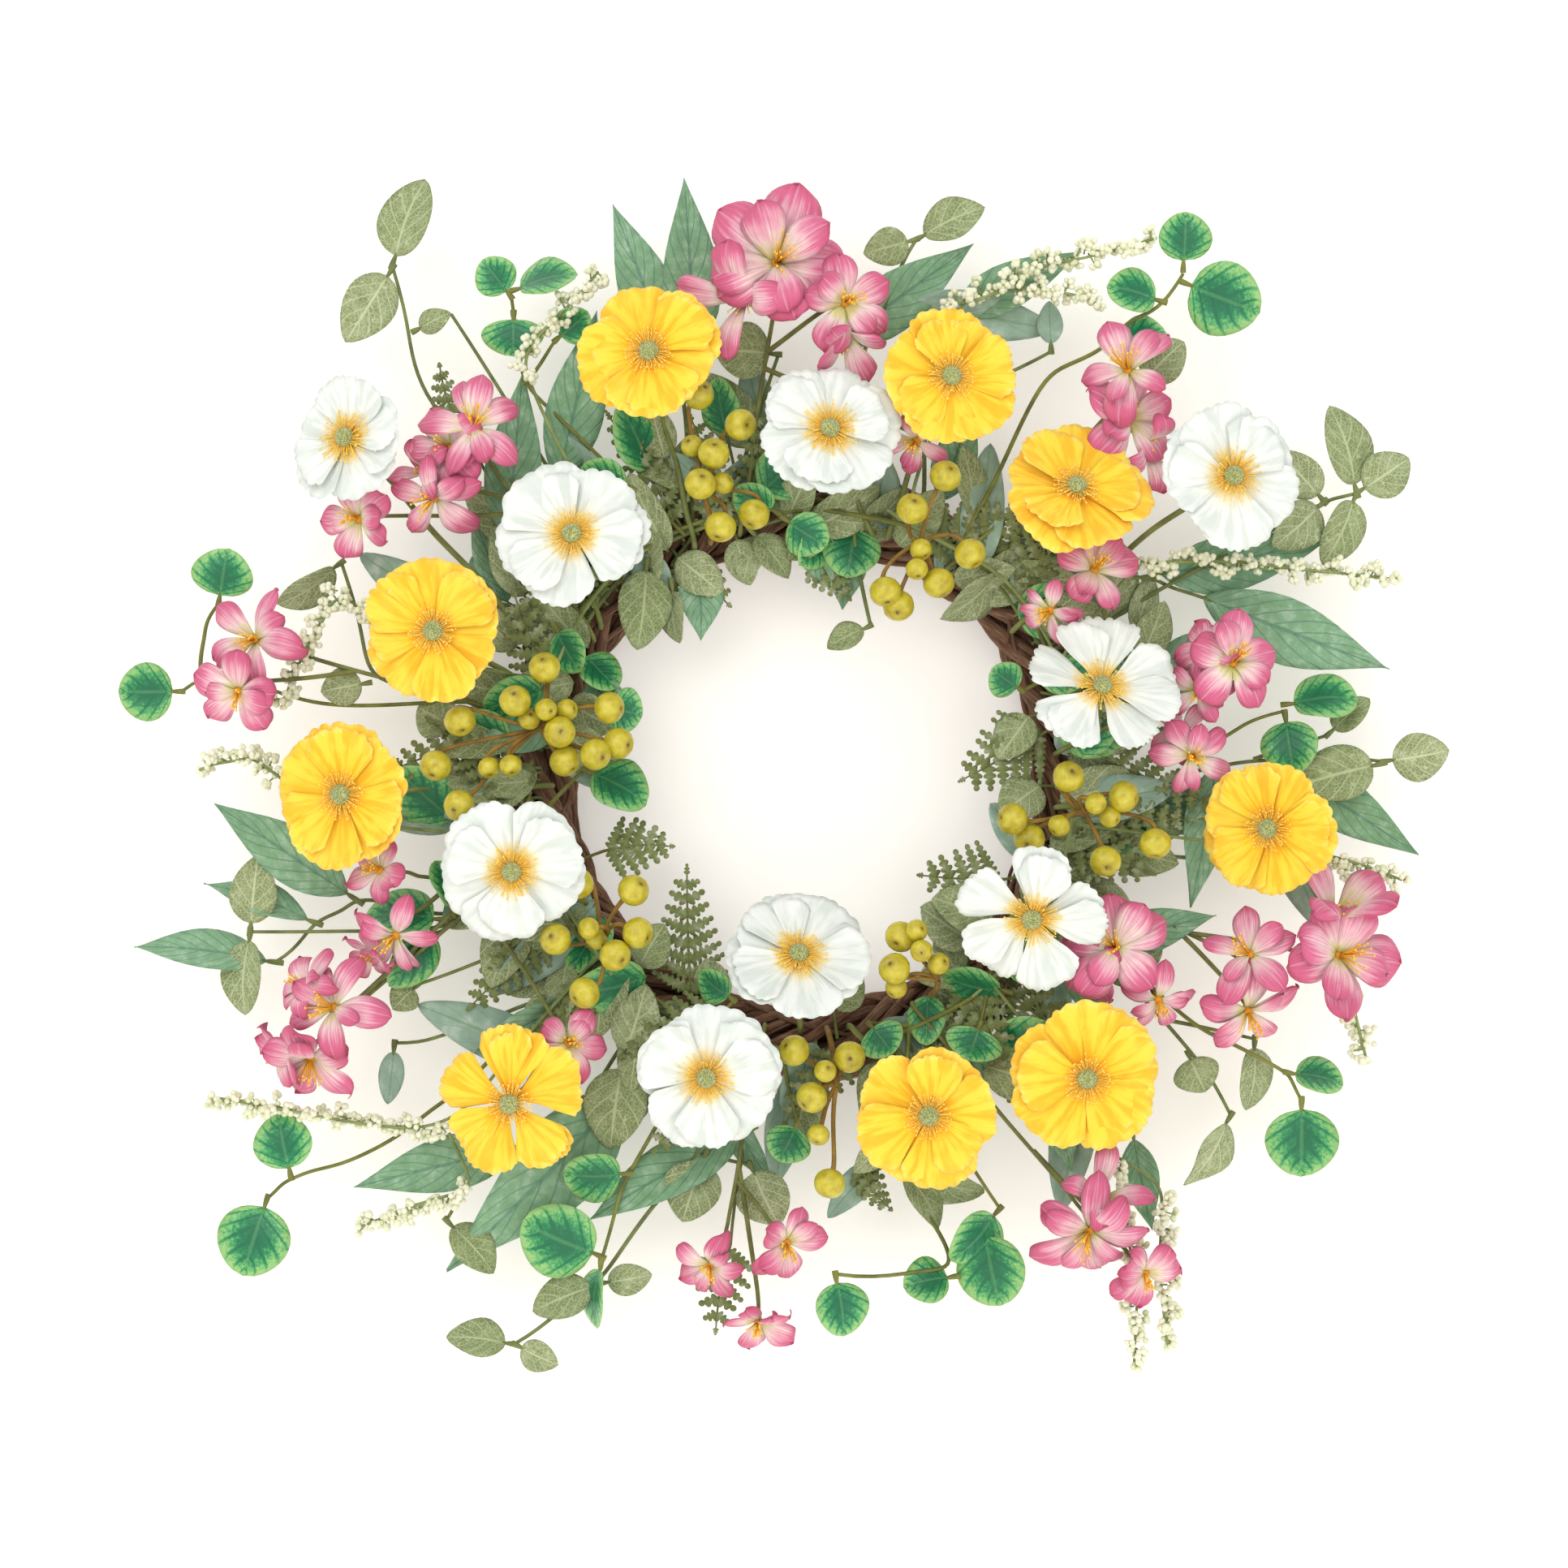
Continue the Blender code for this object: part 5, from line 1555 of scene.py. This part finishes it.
def pinna(bm, foot, tip, breadth, rng, tint):
    """One lobed leaflet: a narrow strip whose sides swell and narrow at each lobe."""
    run = tip - foot
    length = run.length
    side = run.normalized().cross(FORWARD).normalized()
    lobes = max(3, int(length / LOBE_LENGTH))
    bend = rng.uniform(0.03, 0.12)

    def shape(across, along):
        swell = 0.40 + 0.60 * abs(math.sin(math.pi * along * lobes)) ** 0.7
        half = breadth * (1.0 - 0.80 * along**1.8) * swell * 0.5
        reach = min(1.0, along + 0.20 * abs(across) * swell / lobes)
        rise = bend * length * math.sin(math.pi * along) + 0.25 * abs(across) * half
        return foot + run * reach + side * across * half + FORWARD * rise

    sheet(bm, 2, lobes * 4, shape, Matrix.Identity(4), tint)


def frond(bm, base, tip, width, rng):
    """Pairs of lobed leaflets that shorten towards the tip. Gives back the run of its midrib."""
    run = tip - base
    along = run.normalized()
    side = along.cross(FORWARD).normalized()
    pairs = max(5, int(run.length / PAIR_STEP))
    bow = rng.uniform(-5.0, -1.0)
    sway = rng.uniform(-4.0, 4.0)

    def rib(share):
        swing = math.sin(math.pi * share)
        return base + run * share + Vector((0.0, bow * swing, 0.0)) + side * sway * swing * 0.5

    for pair in range(pairs):
        foot = rib(0.10 + 0.86 * pair / pairs)
        reach = width * 0.56 * (1.0 - 0.78 * (pair / pairs) ** 1.3)
        for hand in (-1.0, 1.0):
            end = foot + (side * hand + along * rng.uniform(0.42, 0.62)) * reach
            end.y += rng.uniform(-1.0, 2.2)
            pinna(bm, foot, end, min(7.2, 4.2 + reach * 0.26), rng, rng.random())
    pinna(bm, rib(0.94), base + run * 1.02, 3.0, rng, 0.5)
    return [(rib(step / RIB_STEPS), 0.85 - 0.07 * step) for step in range(RIB_STEPS + 1)]


def build_ferns(settings):
    """Each quarter's fronds: the ones on side stems, and small ones at the ring."""
    finish = fern_finish(settings.fern)
    stem = stem_finish("fern_stem", paint(120, 124, 72), paint(84, 88, 44))
    for number, (quarter, branches, fronds) in enumerate(FERN):
        rng = random.Random(1200 + number)
        runs = spray_runs(branches, FERN_Y, rng, 1.1, 0.8)
        bm = new_mesh()
        for base_x, base_z, tip_x, tip_z, width in fronds:
            base, tip = layered(base_x, base_z, FERN_Y), layered(tip_x, tip_z, FERN_Y)
            runs.append(frond(bm, base, tip, width, rng))
        for index in range(SMALL_FRONDS):
            share = (index + rng.random()) / SMALL_FRONDS
            clock = QUARTER_START + QUARTER * number + QUARTER * share
            start = on_ring(clock, rng.uniform(112.0, 140.0), FERN_Y - 4.0)
            swing = rng.uniform(-50.0, 50.0)
            tip = start + on_ring(clock + swing, rng.uniform(44.0, 66.0), rng.uniform(-8.0, -2.0))
            runs.append(frond(bm, start, tip, rng.uniform(22.0, 30.0), rng))
        name = f"fern_spray_{quarter}"
        cloth_piece(f"{name}_leaflets", bm, finish, "fern", FERN_CLOTH, [name])
        stems_piece(f"{name}_stems", runs, stem, "fern")


def seeds_along(bm, first, second, radius, rng):
    """Small clusters of seeds round a stretch of stem. Gives back their short stalks."""
    stalks = []
    run = second - first
    clusters = max(3, int(run.length / CLUSTER_STEP))
    axes = axes_along(run)
    for cluster in range(clusters):
        foot = first.lerp(second, (cluster + rng.uniform(0.2, 0.8)) / clusters)
        heart = foot + axes @ around(any_turn(rng), rng.uniform(1.4, 5.6), rng.uniform(0.0, 3.0))
        stalks.append([(foot, 0.5), (heart, 0.4)])
        for _ in range(rng.choice((5, 6, 7))):
            way = Vector([rng.gauss(0.0, 1.0) for _ in range(3)]).normalized()
            spot = Matrix.Translation(heart + way * radius * rng.uniform(1.1, 1.9))
            ball(bm, radius * rng.uniform(0.85, 1.12), spot, tint=rng.random())
    return stalks


def build_seed_sprays(settings):
    """Each quarter's stems, with seeds all along their outer runs."""
    bead = bead_finish()
    stem = stem_finish("seed_stem", paint(142, 156, 98), paint(104, 118, 62))
    radius = settings.bead_radius / MM
    for number, (quarter, branches) in enumerate(SEED):
        rng = random.Random(1500 + number)
        runs = spray_runs(branches, SEED_Y, rng, 1.0, 0.7)
        bm = new_mesh()
        for path in branches:
            points = [layered(x, z, SEED_Y) for x, z in path[1:]]
            for first, second in zip(points, points[1:]):
                runs += seeds_along(bm, first, second, radius, rng)
        name = f"seed_spray_{quarter}"
        solid_piece(f"{name}_seeds", bm, [bead], "seed", [name])
        stems_piece(f"{name}_stems", runs, stem, "seed")


# ---------------------------------------------------------------- stage

LOOK_AT = Vector((-0.0095, -0.05, -HOOK_REST_Z * MM - 0.0033))
SWEEP_HALF_WIDTH = 5.0
SWEEP_STEPS = 40
WALL_TOP = 4.0
WALL_SHARE = 0.45
BEND_SHARE = 0.1
BEND_RADIUS = 0.4
FLOOR_Z = -1.15
FLOOR_REACH = 5.0
DAYLIGHT = 0.80
LAMP_COLOUR = (1.0, 0.985, 0.965)

# Lamps: name, place, size and power
LAMPS = (
    ("key_light", (-0.7, -2.1, 1.0), 1.9, 22.0),
    ("fill_light", (1.2, -2.0, -0.2), 2.0, 9.0),
)


def add_camera(settings):
    """The camera looks straight at the flowers, at the middle of the wreath."""
    camera = bpy.data.cameras.new("wreath_camera")
    camera.lens = settings.lens
    camera.clip_start = 0.05
    holder = bpy.data.objects.new("wreath_camera", camera)
    bpy.context.scene.collection.objects.link(holder)
    reach = settings.view_width / 2.0 / (camera.sensor_width / 2.0 / camera.lens)
    holder.location = LOOK_AT + Vector((0.0, -reach, 0.0))
    holder.rotation_euler = (math.radians(90.0), 0.0, 0.0)
    bpy.context.scene.camera = holder


def sweep_at(share, wall_y):
    """The sweep's y and z: down the wall, round a bend and forward along the floor."""
    floor_share = WALL_SHARE + BEND_SHARE
    if share < WALL_SHARE:
        return wall_y, WALL_TOP + (FLOOR_Z + BEND_RADIUS - WALL_TOP) * share / WALL_SHARE
    if share < floor_share:
        turn = (share - WALL_SHARE) / BEND_SHARE * math.pi / 2.0
        forward = BEND_RADIUS * (1.0 - math.cos(turn))
        return wall_y - forward, FLOOR_Z + BEND_RADIUS * (1.0 - math.sin(turn))
    along = (share - floor_share) / (1.0 - floor_share)
    return wall_y - BEND_RADIUS - along * FLOOR_REACH, FLOOR_Z


def studio_paint():
    """Pale paint that glows a little, and is clear from behind so that the back can be seen."""
    card = Finish("studio_paint", 0.9, specular=0.1)
    card.set_socket("Base Color", (0.90, 0.87, 0.83, 1.0))
    card.set_socket("Emission Color", (*LAMP_COLOUR, 1.0))
    card.set_socket("Emission Strength", 0.28)
    clear = card.add("ShaderNodeBsdfTransparent", {})
    behind = card.add("ShaderNodeNewGeometry", {}).outputs["Backfacing"]
    sides = {0: behind, 1: card.shader.outputs[0], 2: clear.outputs[0]}
    both = card.add("ShaderNodeMixShader", sides)
    card.tree.links.new(both.outputs[0], card.tree.nodes["Material Output"].inputs["Surface"])
    return card.material


def add_sweep(settings):
    """The wall and the floor, in one sheet with a round bend between them."""
    wall_y = CAD_HIGH.y + settings.wall_gap
    bm = bmesh.new()
    bmesh.ops.create_grid(bm, x_segments=2, y_segments=SWEEP_STEPS, size=1.0)
    for vert in bm.verts:
        across, down = vert.co.x, (vert.co.y + 1.0) / 2.0
        vert.co = (across * SWEEP_HALF_WIDTH, *sweep_at(down, wall_y))
    bmesh.ops.recalc_face_normals(bm, faces=bm.faces)
    bm.faces.ensure_lookup_table()
    if bm.faces[0].normal.y > 0.0 or bm.faces[0].normal.z < -0.5:
        bmesh.ops.reverse_faces(bm, faces=bm.faces)
    for face in bm.faces:
        face.smooth = True
    mesh = bpy.data.meshes.new("studio_sweep")
    bm.to_mesh(mesh)
    bm.free()
    mesh.materials.append(studio_paint())
    sweep = bpy.data.objects.new("studio_sweep", mesh)
    bpy.context.scene.collection.objects.link(sweep)


def add_lights():
    """Soft daylight from all round, and two large lamps in front."""
    world = bpy.data.worlds.new("studio_daylight")
    world.use_nodes = True
    sky = world.node_tree.nodes["Background"]
    sky.inputs["Color"].default_value = (1.0, 0.995, 0.985, 1.0)
    sky.inputs["Strength"].default_value = DAYLIGHT
    bpy.context.scene.world = world
    for name, place, size, power in LAMPS:
        lamp = bpy.data.lights.new(name, "AREA")
        lamp.size = size
        lamp.energy = power
        lamp.color = LAMP_COLOUR
        stand = bpy.data.objects.new(name, lamp)
        bpy.context.scene.collection.objects.link(stand)
        stand.location = place
        stand.rotation_euler = (LOOK_AT - Vector(place)).to_track_quat("-Z", "Y").to_euler()
    bpy.context.scene.view_settings.view_transform = "Standard"


# ---------------------------------------------------------------- operators


class WREATH_OT_stage(bpy.types.Operator):
    """Make the camera, the wall and floor sweep and the lights"""

    bl_idname = "wreath.stage"
    bl_label = "Stage"

    def execute(self, context):
        add_camera(context.scene.wreath_stage)
        add_sweep(context.scene.wreath_stage)
        add_lights()
        return {"FINISHED"}


class WREATH_OT_vine_ring(bpy.types.Operator):
    """Build the twisted grapevine ring"""

    bl_idname = "wreath.vine_ring"
    bl_label = "Vine ring"

    def execute(self, context):
        build_vine_ring(context.scene.wreath_ring)
        return {"FINISHED"}


class WREATH_OT_poppies(bpy.types.Operator):
    """Build the yellow and white poppies with their hearts and stems"""

    bl_idname = "wreath.poppies"
    bl_label = "Poppies"

    def execute(self, context):
        build_poppies(context.scene.wreath_poppies)
        return {"FINISHED"}


class WREATH_OT_blossoms(bpy.types.Operator):
    """Build the pink blossom sprigs"""

    bl_idname = "wreath.blossoms"
    bl_label = "Blossoms"

    def execute(self, context):
        build_blossoms(context.scene.wreath_blossoms)
        return {"FINISHED"}


class WREATH_OT_berries(bpy.types.Operator):
    """Build the berry sprigs"""

    bl_idname = "wreath.berries"
    bl_label = "Berries"

    def execute(self, context):
        build_berries(context.scene.wreath_berries)
        return {"FINISHED"}


class WREATH_OT_leaves(bpy.types.Operator):
    """Build the sage, net veined and dappled leaf sprays"""

    bl_idname = "wreath.leaves"
    bl_label = "Leaf sprays"

    def execute(self, context):
        build_leaves(context.scene.wreath_foliage)
        return {"FINISHED"}


class WREATH_OT_ferns(bpy.types.Operator):
    """Build the fern sprays"""

    bl_idname = "wreath.ferns"
    bl_label = "Ferns"

    def execute(self, context):
        build_ferns(context.scene.wreath_foliage)
        return {"FINISHED"}


class WREATH_OT_seed_sprays(bpy.types.Operator):
    """Build the seed sprays"""

    bl_idname = "wreath.seed_sprays"
    bl_label = "Seed sprays"

    def execute(self, context):
        build_seed_sprays(context.scene.wreath_foliage)
        return {"FINISHED"}


OPERATORS = (
    WREATH_OT_stage,
    WREATH_OT_vine_ring,
    WREATH_OT_poppies,
    WREATH_OT_blossoms,
    WREATH_OT_berries,
    WREATH_OT_leaves,
    WREATH_OT_ferns,
    WREATH_OT_seed_sprays,
)


class WREATH_PT_pieces(bpy.types.Panel):
    """The wreath's pieces, in the order they are built"""

    bl_idname = "WREATH_PT_pieces"
    bl_label = "Floral wreath"
    bl_space_type = "VIEW_3D"
    bl_region_type = "UI"
    bl_category = "Wreath"

    def draw(self, context):
        for operator in OPERATORS:
            self.layout.operator(operator.bl_idname)


SETTINGS = {
    "wreath_ring": WreathRingSettings,
    "wreath_poppies": WreathPoppySettings,
    "wreath_blossoms": WreathBlossomSettings,
    "wreath_berries": WreathBerrySettings,
    "wreath_foliage": WreathFoliageSettings,
    "wreath_stage": WreathStageSettings,
}


def register():
    """Adds the settings to the scene, then the operators and the panel."""
    for name, group in SETTINGS.items():
        bpy.utils.register_class(group)
        setattr(bpy.types.Scene, name, PointerProperty(type=group))
    for item in (*OPERATORS, WREATH_PT_pieces):
        bpy.utils.register_class(item)


def unregister():
    """Takes away all that register added."""
    for item in reversed((*OPERATORS, WREATH_PT_pieces)):
        bpy.utils.unregister_class(item)
    for name, group in reversed(SETTINGS.items()):
        delattr(bpy.types.Scene, name)
        bpy.utils.unregister_class(group)


def main():
    """Builds the whole wreath."""
    register()
    bpy.ops.wreath.stage()
    bpy.ops.wreath.vine_ring()
    bpy.ops.wreath.poppies()
    bpy.ops.wreath.blossoms()
    bpy.ops.wreath.berries()
    bpy.ops.wreath.leaves()
    bpy.ops.wreath.ferns()
    bpy.ops.wreath.seed_sprays()


if __name__ == "__main__":
    main()
